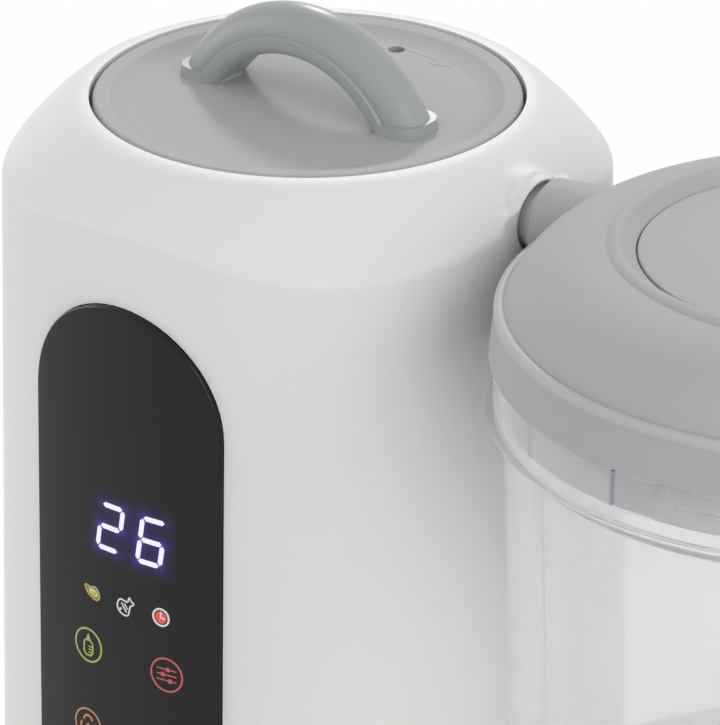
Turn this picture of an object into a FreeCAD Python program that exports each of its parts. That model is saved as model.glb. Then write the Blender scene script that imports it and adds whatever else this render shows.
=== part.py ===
"""Baby food maker: a steam tower with a lift-off lid and touch panel, beside a blender jar on its motor pod.

Millimetres, +Z up. The origin is the middle of the footprint on the table. The tower stands on -X with its
panel facing -Y, and the jar stands on +X with its handle pointing along +X.
"""
import FreeCAD, Part
import math
import os
import Sketcher

# Driving sizes. Levels are heights above the table, radii are about the tower's or the jar's own axis.
DRIVING = {
    # Plan of the tower and the pod: a square with bowed sides and large corners
    "tower_half": 62.0,
    "tower_side_radius": 99.0,
    "tower_corner_radius": 50.0,
    "tower_flare": 4.8,
    "jar_clearance": 2.4,
    "wall": 2.6,
    # Levels
    "foot_height": 3.5,
    "cover_height": 6.0,
    "deck_level": 52.0,
    "lid_level": 205.0,
    "seam_drop": 25.0,
    "crease_drop": 11.8,
    # Shoulder of the tower
    "lip_width": 1.2,
    "lip_blend": 6.0,
    "shoulder_radius": 72.0,
    "shoulder_slope": 39.0,
    "shoulder_end_slope": 70.0,
    "crease_blend": 3.0,
    # Recess that takes the lid, and the steam tube under it
    "shoulder_width": 15.4,
    "recess_depth": 5.5,
    "ledge_width": 4.0,
    # Steam outlet towards the jar
    "outlet_drop": 12.9,
    "outlet_lip_width": 1.9,
    "outlet_boss_edge": 1.5,
    "outlet_boss_blend": 3.5,
    "outlet_boss_setback": 2.4,
    "outlet_face_margin": 3.8,
    "outlet_seat_depth": 1.9,
    "outlet_seat_gap": 0.2,
    "outlet_wall": 1.6,
    "sleeve_wall": 1.0,
    "seal_length": 5.6,
    "seal_radius": 7.5,
    "seal_groove_depth": 0.9,
    "seal_lip_depth": 0.4,
    "seal_flange_length": 1.8,
    "seal_lip_length": 1.2,
    "sleeve_setback": 0.5,
    "docking_gap": 0.6,
    # Touch panel
    "panel_half": 24.8,
    "panel_drop": 28.0,
    "panel_height": 138.0,
    "panel_proud": 1.2,
    "panel_gap": 0.15,
    "panel_edge": 0.5,
    "panel_margin": 10.0,
    "carrier_margin": 3.0,
    "board_depth": 12.0,
    "board_thickness": 1.6,
    "display_drop": 79.0,
    "display_half": 12.5,
    "display_height": 19.0,
    "display_depth": 8.0,
    "touch_drop": 109.0,
    "touch_pitch": 20.0,
    "touch_offset": 10.0,
    "touch_radius": 3.5,
    "touch_slack": 1.4,
    # Tower lid
    "lid_gap": 0.8,
    "lid_floor_drop": 1.9,
    "lid_rim_width": 3.8,
    "lid_ramp_width": 5.0,
    "lid_ramp_bend": 14.0,
    "lid_edge": 1.0,
    "lid_skin": 2.2,
    "lid_skirt_depth": 9.0,
    "lid_seal_height": 1.8,
    "lid_seal_proud": 0.5,
    "steam_hole_radius": 1.9,
    "steam_hole_inset": 2.5,
    "steam_hole_shift": 2.6,
    "handle_inset": 10.3,
    "handle_rise": 16.3,
    "handle_width": 13.0,
    "handle_thickness": 10.2,
    "handle_strip_inset": 0.7,
    "handle_strip_drop": 1.2,
    "handle_under_edge": 2.6,
    "handle_foot_length": 12.0,
    "handle_foot_shift": 0.5,
    "handle_foot_height": 2.4,
    "handle_foot_margin": 0.3,
    "handle_foot_bend": 5.0,
    "handle_foot_lean": 10.0,
    "lid_screw_radius": 1.5,
    "lid_screw_reach": 3.4,
    # Heated chamber
    "chamber_inset": 1.6,
    "chamber_wall": 1.2,
    "chamber_depth": 98.5,
    "chamber_corner": 8.0,
    "chamber_flange": 3.4,
    "seal_thickness": 1.5,
    "heater_thickness": 8.0,
    "heater_edge": 2.0,
    "chamber_seal_gap": 0.4,
    "element_radius": 26.0,
    "element_tube": 3.4,
    "element_turn": 320.0,
    "terminal_radius": 2.0,
    "terminal_length": 10.2,
    "terminal_inset": 8.0,
    "thermostat_radius": 8.0,
    "thermostat_height": 10.0,
    "thermostat_flange": 4.0,
    "thermostat_body": 5.6,
    # Base
    "neck_half": 36.0,
    "neck_drop": 12.0,
    "neck_reach": 12.0,
    "pod_edge": 5.0,
    "coupling_well": 17.0,
    "well_rim": 2.6,
    "well_rim_height": 3.0,
    "foot_radius": 8.0,
    "foot_inset": 19.0,
    "cover_screw_radius": 1.8,
    "cover_screw_head": 1.2,
    "cover_screw_inset": 12.0,
    "post_radius": 4.0,
    "power_board_inset": 24.0,
    "power_board_lift": 18.0,
    "inlet_half": 12.0,
    "inlet_height": 16.0,
    "inlet_level": 40.0,
    "inlet_depth": 20.0,
    "inlet_flange": 3.0,
    "inlet_proud": 1.6,
    "inlet_wall": 2.0,
    "inlet_gap": 0.2,
    "inlet_seat": 0.05,
    "inlet_back": 3.0,
    "inlet_pin_radius": 1.2,
    "inlet_pin_offset": 4.3,
    "inlet_pin_setback": 4.0,
    "board_screw_radius": 2.8,
    "board_screw_height": 2.0,
    "transformer_side": 24.0,
    "transformer_left": 16.0,
    "transformer_front": 8.0,
    "transformer_height": 20.0,
    "relay_length": 16.0,
    "relay_width": 18.0,
    "relay_right": 14.0,
    "relay_front": 17.0,
    "capacitor_radius": 7.0,
    "capacitor_right": 14.0,
    "capacitor_back": 8.0,
    "capacitor_height": 24.0,
    "choke_radius": 5.0,
    "choke_left": 14.0,
    "choke_back": 16.0,
    "vent_length": 26.0,
    "vent_width": 3.0,
    "vent_pitch": 8.0,
    # Motor and drive
    "motor_radius": 27.0,
    "motor_wall": 1.8,
    "motor_drop": 12.0,
    "motor_length": 23.0,
    "motor_cap_height": 4.0,
    "motor_post_offset": 25.0,
    "motor_plate_half": 31.0,
    "motor_plate_thickness": 2.0,
    "grommet_height": 4.0,
    "grommet_wall": 1.5,
    "plate_gap": 1.0,
    "magnet_thickness": 4.6,
    "magnet_margin": 5.0,
    "magnet_split": 8.0,
    "brush_plate": 3.0,
    "core_gap": 0.8,
    "core_length": 10.0,
    "core_slot_depth": 8.8,
    "core_slot_width": 3.0,
    "commutator_wall": 4.0,
    "commutator_gap": 1.0,
    "shaft_radius": 3.0,
    "bearing_radius": 6.5,
    "bearing_height": 6.0,
    "bearing_slack": 0.05,
    "fan_radius": 23.0,
    "fan_height": 5.0,
    "fan_gap": 1.0,
    "fan_disc": 1.4,
    "fan_hub": 3.0,
    "fan_vane": 1.6,
    "coupling_radius": 13.5,
    "coupling_core": 7.0,
    "coupling_disc": 3.5,
    "coupling_teeth": 6.0,
    "coupling_tooth_angle": 24.0,
    "coupling_gap": 0.5,
    "tooth_height": 6.0,
    "tooth_root": 0.5,
    # Jar
    "jar_mouth_radius": 64.9,
    "jar_rim_skin": 2.5,
    "jar_taper": 3.1,
    "jar_shoulder": 2.0,
    "jar_floor_rise": 9.0,
    "jar_skin": 2.4,
    "jar_floor_skin": 3.0,
    "jar_corner": 7.0,
    "bead_proud": 1.2,
    "bead_drop": 11.4,
    "bead_height": 1.2,
    "bead_edge": 0.3,
    "collar_overlap": 5.0,
    "collar_margin": 3.9,
    "collar_skin": 7.0,
    "collar_plate": 3.0,
    "collar_floor_hole": 21.0,
    "collar_edge": 1.2,
    "seat_gap": 0.3,
    "grip_standoff": 41.7,
    "grip_drop": 6.0,
    "grip_lift": 10.0,
    "grip_width": 22.0,
    "grip_thickness": 12.0,
    "grip_corner": 15.0,
    "grip_edge": 4.0,
    # Blade unit
    "bush_radius": 12.8,
    "bush_gap": 0.1,
    "bush_flange": 17.0,
    "bush_flange_height": 2.4,
    "bush_rise": 4.0,
    "blade_seal_height": 1.0,
    "nut_lift": 1.5,
    "spindle_radius": 4.0,
    "blade_reach": 37.0,
    "blade_width": 13.0,
    "blade_sheet": 1.4,
    "blade_hub_half": 9.0,
    "blade_rise": 14.0,
    "blade_dip": 1.2,
    "blade_gap": 1.6,
    "cap_radius": 6.5,
    "cap_height": 7.0,
    "cap_edge": 2.5,
    # Jar lid
    "skirt_overhang": 0.8,
    "skirt_lean": 1.0,
    "skirt_drop": 24.0,
    "ridge_width": 1.4,
    "dome_width": 22.2,
    "dome_fall": 14.4,
    "ring_width": 3.6,
    "ring_height": 1.1,
    "ridge_bend": 1.0,
    "ring_slope": 1.6,
    "disc_groove": 0.6,
    "disc_drop": 1.3,
    "disc_thickness": 1.6,
    "disc_gap": 0.3,
    "disc_edge": 0.4,
    "jar_lid_skin": 2.4,
    "liner_gap": 0.5,
    "liner_skin": 1.8,
    "liner_depth": 33.5,
    "liner_window_half": 20.0,
    "liner_window_lift": 1.5,
    "liner_turn": 66.0,
    "gasket_height": 2.4,
    "gasket_depth": 1.0,
    "gasket_lift": 11.0,
    "gasket_proud": 0.2,
    "spout_tip_radius": 9.0,
    "spout_root_radius": 10.4,
    "spout_length": 14.0,
    "spout_bore": 5.0,
}

DOC = FreeCAD.newDocument("baby_food_maker")
SHEET = DOC.addObject("Spreadsheet::Sheet", "Sizes")
PIECES = []


class Size:
    """A length or an angle that carries its number and the sheet formula behind it."""

    def __init__(self, number, formula):
        self.number = float(number)
        self.formula = formula

    @staticmethod
    def of(value):
        """Take a plain number as a size of its own."""
        if isinstance(value, Size):
            return value
        return Size(value, str(float(value)))

    def joined(self, sign, other, number):
        """Make the size that the two formulas give together."""
        return Size(number, f"({self.formula} {sign} {other.formula})")

    def __add__(self, other):
        other = Size.of(other)
        return self.joined("+", other, self.number + other.number)

    def __sub__(self, other):
        other = Size.of(other)
        return self.joined("-", other, self.number - other.number)

    def __mul__(self, other):
        other = Size.of(other)
        return self.joined("*", other, self.number * other.number)

    def __truediv__(self, other):
        other = Size.of(other)
        return self.joined("/", other, self.number / other.number)

    def __radd__(self, other):
        return Size.of(other) + self

    def __rsub__(self, other):
        return Size.of(other) - self

    def __rmul__(self, other):
        return Size.of(other) * self

    def __rtruediv__(self, other):
        return Size.of(other) / self

    def __neg__(self):
        return Size(-self.number, f"(0 - {self.formula})")

    def root(self):
        """Square root."""
        return Size(math.sqrt(self.number), f"sqrt({self.formula})")

    def sine(self):
        """Sine of an angle in degrees."""
        return Size(math.sin(math.radians(self.number)), f"sin({self.formula})")

    def cosine(self):
        """Cosine of an angle in degrees."""
        return Size(math.cos(math.radians(self.number)), f"cos({self.formula})")


class Sizes:
    """The sheet's cells, each by its own name."""

    def __init__(self):
        for row, (alias, value) in enumerate(DRIVING.items(), start=1):
            SHEET.set(f"A{row}", str(value))
            SHEET.setAlias(f"A{row}", alias)

    def __getattr__(self, alias):
        return Size(DRIVING[alias], f"Sizes.{alias}")


s = Sizes()
DOC.recompute()

BASE_LEVEL = s.foot_height + s.cover_height
CREASE_LEVEL = s.lid_level - s.crease_drop


def flare_at(level):
    """How much wider than at the crease the leaning wall stands at a level."""
    return s.tower_flare * (CREASE_LEVEL - level) / (CREASE_LEVEL - BASE_LEVEL)


# Radii about the jar's axis, from the mouth outwards
BAND_RADIUS = s.jar_mouth_radius + s.jar_rim_skin
BEAD_RADIUS = BAND_RADIUS + s.bead_proud
SKIRT_RADIUS = BAND_RADIUS + s.skirt_overhang
SKIRT_TOP_RADIUS = SKIRT_RADIUS - s.skirt_lean
PLATEAU_RADIUS = SKIRT_TOP_RADIUS - s.dome_width
LINER_RADIUS = s.jar_mouth_radius - s.liner_gap
JAR_TOP_RADIUS = BAND_RADIUS - s.jar_shoulder
JAR_BOTTOM_RADIUS = JAR_TOP_RADIUS - s.jar_taper
COLLAR_RADIUS = JAR_BOTTOM_RADIUS + s.collar_margin
GRIP_REACH = JAR_BOTTOM_RADIUS + s.grip_standoff

# Places of the two axes, with the middle of the footprint between them
AXIS_DISTANCE = s.tower_half + SKIRT_RADIUS + s.jar_clearance
LEFT_REACH = s.tower_half + flare_at(s.foot_height)
RIGHT_REACH = AXIS_DISTANCE + GRIP_REACH
TOWER = (LEFT_REACH - RIGHT_REACH) / 2
JAR = TOWER + AXIS_DISTANCE

# Tower: levels and the outlet's reach from the tower's axis
SEAM_LEVEL = s.lid_level - s.seam_drop
OUTLET_LEVEL = s.lid_level - s.outlet_drop
OUTLET_BOSS_REACH = s.tower_half - s.outlet_boss_setback
OUTLET_BOSS_RADIUS = s.seal_radius + s.outlet_seat_gap + s.outlet_lip_width
OUTLET_SEAT = OUTLET_BOSS_REACH - s.outlet_seat_depth
OUTLET_BORE = s.seal_radius - s.outlet_wall
SLEEVE_BORE = OUTLET_BORE - s.sleeve_wall
SEAL_REACH = OUTLET_SEAT + s.seal_length
SPOUT_REACH = AXIS_DISTANCE - SEAL_REACH - s.docking_gap
RECESS_RADIUS = s.tower_half - s.shoulder_width
MOUTH_RADIUS = RECESS_RADIUS - s.ledge_width
LEDGE_LEVEL = s.lid_level - s.recess_depth
FLANGE_LEVEL = SEAM_LEVEL - s.seal_thickness
CHAMBER_RADIUS = MOUTH_RADIUS - s.chamber_inset
CHAMBER_FLOOR = FLANGE_LEVEL - s.chamber_depth
PANEL_HIGH = s.lid_level - s.panel_drop
PANEL_LOW = PANEL_HIGH - s.panel_height
BOARD_SETBACK = s.tower_half - s.board_depth
POWER_BOARD_HALF = s.tower_half - s.power_board_inset
POWER_BOARD_LEVEL = s.foot_height + s.wall + s.power_board_lift

# Tower lid and its handle
LID_RADIUS = RECESS_RADIUS - s.lid_gap
LID_FLOOR = s.lid_level - s.lid_floor_drop
LID_UNDERSIDE = LID_FLOOR - s.lid_skin
LID_RISE_RADIUS = LID_RADIUS - s.lid_rim_width
LID_FLOOR_RADIUS = LID_RISE_RADIUS - s.lid_ramp_width
LID_SKIRT_RADIUS = MOUTH_RADIUS - s.lid_gap - s.seat_gap
LID_SKIRT_LOW = s.lid_level - s.lid_skirt_depth
HANDLE_SPAN = 2 * (LID_FLOOR_RADIUS - s.handle_inset)
HANDLE_RADIUS = (HANDLE_SPAN * HANDLE_SPAN / 4 + s.handle_rise * s.handle_rise) / (2 * s.handle_rise)
HANDLE_CENTRE = LID_FLOOR + s.handle_rise - HANDLE_RADIUS

# Pod, motor and coupling
DECK_UNDERSIDE = s.deck_level - s.wall
NECK_LEVEL = s.deck_level - s.neck_drop
MOTOR_HIGH = s.deck_level - s.motor_drop
MOTOR_LOW = MOTOR_HIGH - s.motor_length
MOTOR_INNER = s.motor_radius - s.motor_wall
MOTOR_CAP = MOTOR_HIGH - s.motor_wall
MOTOR_PLATE_TOP = MOTOR_HIGH + s.motor_plate_thickness
FAN_LEVEL = MOTOR_LOW - s.motor_cap_height - s.fan_gap - s.fan_height
COUPLING_LOW = MOTOR_PLATE_TOP + s.coupling_gap
DRIVEN_LOW = COUPLING_LOW + s.coupling_disc + s.tooth_height + s.seat_gap

# Jar, blades and jar lid
COLLAR_LOW = s.deck_level + s.seat_gap
JAR_LOW = s.deck_level + s.jar_floor_rise
JAR_FLOOR = JAR_LOW + s.jar_floor_skin
COLLAR_HIGH = JAR_LOW + s.collar_overlap
SKIRT_LEVEL = s.lid_level - s.skirt_drop
JAR_RIM = SKIRT_LEVEL - s.seat_gap
BEAD_LEVEL = JAR_RIM - s.bead_drop
SHOULDER_LEVEL = BEAD_LEVEL - s.bead_height / 2 - s.bead_proud
GRIP_HIGH = SHOULDER_LEVEL - s.grip_drop
GRIP_LOW = COLLAR_HIGH + s.grip_lift
BUSH_SEAT = JAR_FLOOR + s.blade_seal_height
BUSH_TOP = BUSH_SEAT + s.bush_rise
BLADE_LEVEL = BUSH_TOP + s.blade_gap
BLADE_TOP = BLADE_LEVEL + 2 * s.blade_sheet
SHELF_LEVEL = s.lid_level - s.dome_fall
LINER_LOW = s.lid_level - s.liner_depth
LINER_HIGH = SHELF_LEVEL - s.jar_lid_skin
THROUGH = 400.0


def bind(item, name, value):
    """Tie a property of an object to its size."""
    item.setExpression(name, Size.of(value).formula)


def piece(label, axis):
    """Start the body of one piece, standing on the tower's or the jar's axis."""
    body = DOC.addObject("PartDesign::Body", label)
    body.Label = label
    body.AllowCompound = True
    bind(body, "Placement.Base.x", axis)
    PIECES.append(body)
    return body


def sketch(body, role, name, lift=0.0):
    """Open a sketch on one of the body's own planes, lifted along the plane's normal."""
    drawing = body.newObject("Sketcher::SketchObject", name)
    flat = [plane for plane in body.Origin.OriginFeatures if plane.Role == role][0]
    drawing.AttachmentSupport = (flat, [""])
    drawing.MapMode = "FlatFace"
    bind(drawing, "AttachmentOffset.Base.z", lift)
    return drawing


def pin(drawing, edge, end, x, y):
    """Tie one point of an edge to its place in the sketch."""
    for kind, axis, value in (("DistanceX", -2, Size.of(x)), ("DistanceY", -1, Size.of(y))):
        if value.number == 0:
            drawing.addConstraint(Sketcher.Constraint("PointOnObject", edge, end, axis))
        else:
            index = drawing.addConstraint(Sketcher.Constraint(kind, -1, 1, edge, end, value.number))
            bind(drawing, f"Constraints[{index}]", value)


def round_edge(start, stop, radius, turn):
    """Arc from start to stop, turning left for +1 and right for -1."""
    chord = stop - start
    middle = (start + stop) * 0.5
    side = FreeCAD.Vector(-chord.y, chord.x, 0).normalize()
    rise = math.sqrt(max(radius * radius - chord.Length * chord.Length / 4, 0.0))
    centre = middle + side * (rise * turn)
    first, last = (start, stop) if turn > 0 else (stop, start)
    angles = [math.atan2(point.y - centre.y, point.x - centre.x) for point in (first, last)]
    return Part.ArcOfCircle(Part.Circle(centre, FreeCAD.Vector(0, 0, 1), radius), *angles)


def outline(drawing, *stops):
    """Close an outline. A stop is (x, y) after a straight run, or (x, y, radius, turn) after an arc."""
    places = [FreeCAD.Vector(Size.of(stop[0]).number, Size.of(stop[1]).number, 0) for stop in stops]
    ends = []
    for index, stop in enumerate(stops):
        start, finish = places[index - 1], places[index]
        if len(stop) == 2:
            edge = drawing.addGeometry(Part.LineSegment(start, finish), False)
            ends.append((edge, 1, 2))
        else:
            radius, turn = Size.of(stop[2]), stop[3]
            edge = drawing.addGeometry(round_edge(start, finish, radius.number, turn), False)
            ends.append((edge, 1, 2) if turn > 0 else (edge, 2, 1))
            bound = drawing.addConstraint(Sketcher.Constraint("Radius", edge, radius.number))
            bind(drawing, f"Constraints[{bound}]", radius)
    for index, stop in enumerate(stops):
        edge, _, last = ends[index]
        following, first, _ = ends[(index + 1) % len(ends)]
        drawing.addConstraint(Sketcher.Constraint("Coincident", edge, last, following, first))
        pin(drawing, edge, last, stop[0], stop[1])
    return drawing


def circle(drawing, x, y, radius):
    """Add a whole circle."""
    radius = Size.of(radius)
    centre = FreeCAD.Vector(Size.of(x).number, Size.of(y).number, 0)
    edge = drawing.addGeometry(Part.Circle(centre, FreeCAD.Vector(0, 0, 1), radius.number), False)
    pin(drawing, edge, 3, x, y)
    bound = drawing.addConstraint(Sketcher.Constraint("Radius", edge, radius.number))
    bind(drawing, f"Constraints[{bound}]", radius)
    return drawing


def box(drawing, left, low, right, high):
    """Add a rectangle."""
    return outline(drawing, (left, low), (right, low), (right, high), (left, high))


def stadium(drawing, half, low, high):
    """Add an upright slot with round ends, as wide as twice its half width."""
    return outline(drawing, (half, low + half, half, 1), (half, high - half), (0, high, half, 1),
                   (-half, high - half, half, 1), (-half, low + half), (0, low, half, 1))


def rounded_square(drawing, grow, centre):
    """Add the tower's plan: bowed sides that run into large corners, grown by an offset."""
    slide = s.tower_half - s.tower_side_radius
    span = s.tower_side_radius - s.tower_corner_radius
    corner = (slide + (2 * span * span - slide * slide).root()) / 2
    side_radius = s.tower_side_radius + grow
    corner_radius = s.tower_corner_radius + grow
    far = slide + (corner - slide) * side_radius / span
    near = corner * side_radius / span
    return outline(drawing,
                   (centre + far, -near, corner_radius, 1), (centre + far, near, side_radius, 1),
                   (centre + near, far, corner_radius, 1), (centre - near, far, side_radius, 1),
                   (centre - far, near, corner_radius, 1), (centre - far, -near, side_radius, 1),
                   (centre - near, -far, corner_radius, 1), (centre + near, -far, side_radius, 1))


def extrude(body, name, drawing, length, cut=False, back=False, both=False):
    """Pad a sketch along its normal, or pocket it against its normal, unless turned back."""
    made = body.newObject("PartDesign::Pocket" if cut else "PartDesign::Pad", name)
    made.Profile = drawing
    made.Reversed = back
    if both:
        made.SideType = "Symmetric"
    bind(made, "Length", length)
    return made


def turned(body, name, *stops, cut=False):
    """Revolve an outline of radii and levels about the body's own axis."""
    made = body.newObject("PartDesign::Groove" if cut else "PartDesign::Revolution", name)
    drawing = outline(sketch(body, "XZ_Plane", name + "_profile"), *stops)
    made.Profile = drawing
    made.ReferenceAxis = (drawing, ["V_Axis"])
    made.Angle = 360
    return made


def spin(body, name, section, level, angle, cut=False):
    """Revolve a section about a level line in its own sketch."""
    reach = s.tower_half
    ends = [FreeCAD.Vector(place.number, level.number, 0) for place in (-reach, reach)]
    axis = section.addGeometry(Part.LineSegment(*ends), True)
    pin(section, axis, 1, -reach, level)
    pin(section, axis, 2, reach, level)
    made = body.newObject("PartDesign::Groove" if cut else "PartDesign::Revolution", name)
    made.Profile = section
    made.ReferenceAxis = (section, ["Axis0"])
    made.Midplane = True
    made.Angle = angle
    return made


def ring(body, name, inner, outer, low, high, cut=False):
    """Revolve a plain rectangular section."""
    return turned(body, name, (inner, low), (outer, low), (outer, high), (inner, high), cut=cut)


def spaced(body, name, feature, count):
    """Repeat a feature evenly about the body's own axis."""
    pattern = body.newObject("PartDesign::PolarPattern", name)
    pattern.Originals = [feature]
    pattern.Axis = (feature.Profile[0], ["N_Axis"])
    pattern.Angle = 360
    bind(pattern, "Occurrences", count)
    body.Tip = pattern
    return pattern


def soften(body, name, feature, radius, chosen):
    """Round the edges of a feature that the test picks out."""
    DOC.recompute()
    edges = [f"Edge{number}" for number, edge in enumerate(feature.Shape.Edges, start=1) if chosen(edge)]
    made = body.newObject("PartDesign::Fillet", name)
    made.Base = (feature, edges)
    bind(made, "Radius", radius)
    return made


def leaning(body, name, low, high, inset, centre=0.0, cut=False):
    """Loft the rounded square between two levels, inset from the outer wall."""
    made = body.newObject("PartDesign::SubtractiveLoft" if cut else "PartDesign::AdditiveLoft", name)
    ends = []
    for tag, level in (("low", low), ("high", high)):
        drawing = sketch(body, "XY_Plane", f"{name}_{tag}", level)
        ends.append(rounded_square(drawing, flare_at(level) - inset, centre))
    made.Profile = ends[0]
    made.Sections = [ends[1]]
    made.Ruled = True
    return made


def main_housing():
    """Moulded shell of the tower, the motor pod and the neck between them."""
    body = piece("main_housing", TOWER)
    leaning(body, "tower_wall", BASE_LEVEL, SEAM_LEVEL, 0)
    pod = leaning(body, "pod_wall", BASE_LEVEL, s.deck_level, 0, AXIS_DISTANCE)
    soften(body, "pod_rim", pod, s.pod_edge,
           lambda edge: abs(edge.BoundBox.ZMin - s.deck_level.number) < 0.01
           and abs(edge.BoundBox.ZMax - s.deck_level.number) < 0.01)
    inside = AXIS_DISTANCE / 2
    neck = box(sketch(body, "XY_Plane", "neck_plan", BASE_LEVEL), inside - s.neck_reach, -s.neck_half,
               inside + s.neck_reach, s.neck_half)
    extrude(body, "neck", neck, NECK_LEVEL - BASE_LEVEL)
    leaning(body, "tower_inside", BASE_LEVEL, SEAM_LEVEL, s.wall, cut=True)
    leaning(body, "pod_inside", BASE_LEVEL, DECK_UNDERSIDE, s.wall, AXIS_DISTANCE, cut=True)
    duct_half = s.neck_half - s.wall
    duct_reach = s.neck_reach + s.wall
    duct = box(sketch(body, "XY_Plane", "duct_plan", BASE_LEVEL), inside - duct_reach, -duct_half,
               inside + duct_reach,
               duct_half)
    extrude(body, "duct", duct, NECK_LEVEL - s.wall - BASE_LEVEL, cut=True, back=True)
    rim = sketch(body, "XY_Plane", "well_rim_plan", DECK_UNDERSIDE)
    circle(rim, AXIS_DISTANCE, 0, s.coupling_well + s.well_rim)
    extrude(body, "well_rim", rim, s.wall + s.well_rim_height)
    well = circle(sketch(body, "XY_Plane", "well_plan", DECK_UNDERSIDE), AXIS_DISTANCE, 0, s.coupling_well)
    extrude(body, "well", well, THROUGH, cut=True, back=True)
    posts = sketch(body, "XY_Plane", "motor_post_plan", MOTOR_PLATE_TOP + s.grommet_height)
    for across, along in corners(s.motor_post_offset):
        circle(posts, AXIS_DISTANCE + across, along, s.post_radius)
    extrude(body, "motor_posts", posts, DECK_UNDERSIDE - MOTOR_PLATE_TOP - s.grommet_height + s.wall / 2)
    window = stadium(sketch(body, "XZ_Plane", "window_outline"), s.panel_half + s.panel_gap,
                     PANEL_LOW - s.panel_gap,
                     PANEL_HIGH + s.panel_gap)
    extrude(body, "window", window, THROUGH, cut=True, back=True)
    socket = box(sketch(body, "XZ_Plane", "inlet_outline"), -s.inlet_half,
                 s.inlet_level - s.inlet_height / 2,
                 s.inlet_half, s.inlet_level + s.inlet_height / 2)
    extrude(body, "inlet_hole", socket, THROUGH, cut=True)


def corners(offset):
    """The four places of a square pattern."""
    return [(across * offset, along * offset) for across in (-1, 1) for along in (-1, 1)]


def top_cover():
    """Domed shoulder of the tower, with the lid's recess, the steam tube and the outlet towards the jar."""
    body = piece("top_cover", TOWER)
    leaning(body, "block", SEAM_LEVEL, s.lid_level, 0)
    lip = RECESS_RADIUS + s.lip_width
    bend = lip + s.lip_blend * s.shoulder_slope.sine()
    bend_level = s.lid_level - s.lip_blend * (1 - s.shoulder_slope.cosine())
    end = bend + s.shoulder_radius * (s.shoulder_end_slope.sine() - s.shoulder_slope.sine())
    end_level = bend_level - s.shoulder_radius * (s.shoulder_slope.cosine() - s.shoulder_end_slope.cosine())
    clear = end + s.tower_half
    above = s.lid_level + s.shoulder_radius
    shoulder = turned(body, "shoulder", (lip, s.lid_level), (bend, bend_level, s.lip_blend, -1),
                      (end, end_level, s.shoulder_radius, -1), (clear, end_level), (clear, above),
                      (lip, above),
                      cut=True)
    soften(body, "crease", shoulder, s.crease_blend, is_crease)
    outlet_boss(body)
    tube = MOUTH_RADIUS + s.wall
    shell = RECESS_RADIUS + s.wall
    inner = s.tower_half - s.wall
    below = SEAM_LEVEL - s.wall
    turned(body, "hollow", (tube, below), (tube, LEDGE_LEVEL - s.wall), (shell, LEDGE_LEVEL - s.wall),
           (shell, bend_level - 2 * s.wall), (inner - s.wall, CREASE_LEVEL), (inner, CREASE_LEVEL - s.wall),
           (inner, below), cut=True)
    inside = MOUTH_RADIUS + s.wall / 2
    duct = circle(sketch(body, "YZ_Plane", "duct_round", inside), 0, OUTLET_LEVEL, OUTLET_BORE + s.wall)
    extrude(body, "duct", duct, OUTLET_BOSS_REACH - s.wall / 2 - inside)
    turned(body, "recess", (0, above), (RECESS_RADIUS, above), (RECESS_RADIUS, LEDGE_LEVEL),
           (MOUTH_RADIUS, LEDGE_LEVEL), (MOUTH_RADIUS, below), (0, below), cut=True)
    seat = circle(sketch(body, "YZ_Plane", "seat_round", OUTLET_SEAT), 0, OUTLET_LEVEL,
                  s.seal_radius + s.outlet_seat_gap)
    extrude(body, "seat", seat, 2 * s.wall, cut=True, back=True)
    bore = circle(sketch(body, "YZ_Plane", "bore_round", MOUTH_RADIUS - s.wall), 0, OUTLET_LEVEL,
                  OUTLET_BORE)
    extrude(body, "bore", bore, OUTLET_SEAT, cut=True, back=True)


def outlet_boss(body):
    """Boss of the steam outlet that grows out of the shoulder, with a flat docking face and a soft lip."""
    radius, edge, end = OUTLET_BOSS_RADIUS, s.outlet_boss_edge, OUTLET_BOSS_REACH
    plan = circle(sketch(body, "YZ_Plane", "boss_round", MOUTH_RADIUS), 0, OUTLET_LEVEL, radius)
    boss = extrude(body, "boss", plan, s.tower_half + s.outlet_boss_blend - MOUTH_RADIUS)
    soften(body, "boss_foot", boss, s.outlet_boss_blend, lambda item: is_boss_foot(boss.Shape, item))
    face = circle(sketch(body, "YZ_Plane", "face_round", end), 0, OUTLET_LEVEL,
                  radius + s.outlet_face_margin)
    extrude(body, "face", face, 2 * s.outlet_boss_blend, cut=True, back=True)
    high, past = OUTLET_LEVEL + radius, s.outlet_seat_gap
    section = outline(sketch(body, "XZ_Plane", "lip_section"), (end - edge, high + past),
                      (end - edge, high),
                      (end, high - edge, edge, -1), (end + past, high - edge), (end + past, high + past))
    spin(body, "lip", section, OUTLET_LEVEL, 170, cut=True)


def is_boss_foot(shape, edge):
    """Tell an edge where the outlet's boss rises out of the shoulder and the wall."""
    radius = OUTLET_BOSS_RADIUS.number
    surfaces = [face.Surface for face in shape.ancestorsOfType(edge, Part.Face)]
    boss = [isinstance(kind, Part.Cylinder) and abs(kind.Radius - radius) < 0.001 for kind in surfaces]
    return any(boss) and not all(boss) and edge.BoundBox.XLength > 0.001


def is_crease(edge):
    """Tell the edge where the shoulder meets the walls."""
    middle = edge.BoundBox
    reach = max(middle.XMax, -middle.XMin, middle.YMax, -middle.YMin)
    flat = middle.ZMax - middle.ZMin
    inside = middle.ZMin > SEAM_LEVEL.number + 1 and middle.ZMax < s.lid_level.number - s.lip_blend.number
    return inside and reach > s.tower_half.number / 2 and flat < CREASE_LEVEL.number - SEAM_LEVEL.number


def rods(label, axis, spots, radius, low, high):
    """A set of alike upright round pieces."""
    body = piece(label, axis)
    drawing = sketch(body, "XY_Plane", "plan", low)
    for across, along in spots:
        circle(drawing, across, along, radius)
    extrude(body, "rods", drawing, high - low)
    return body


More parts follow.
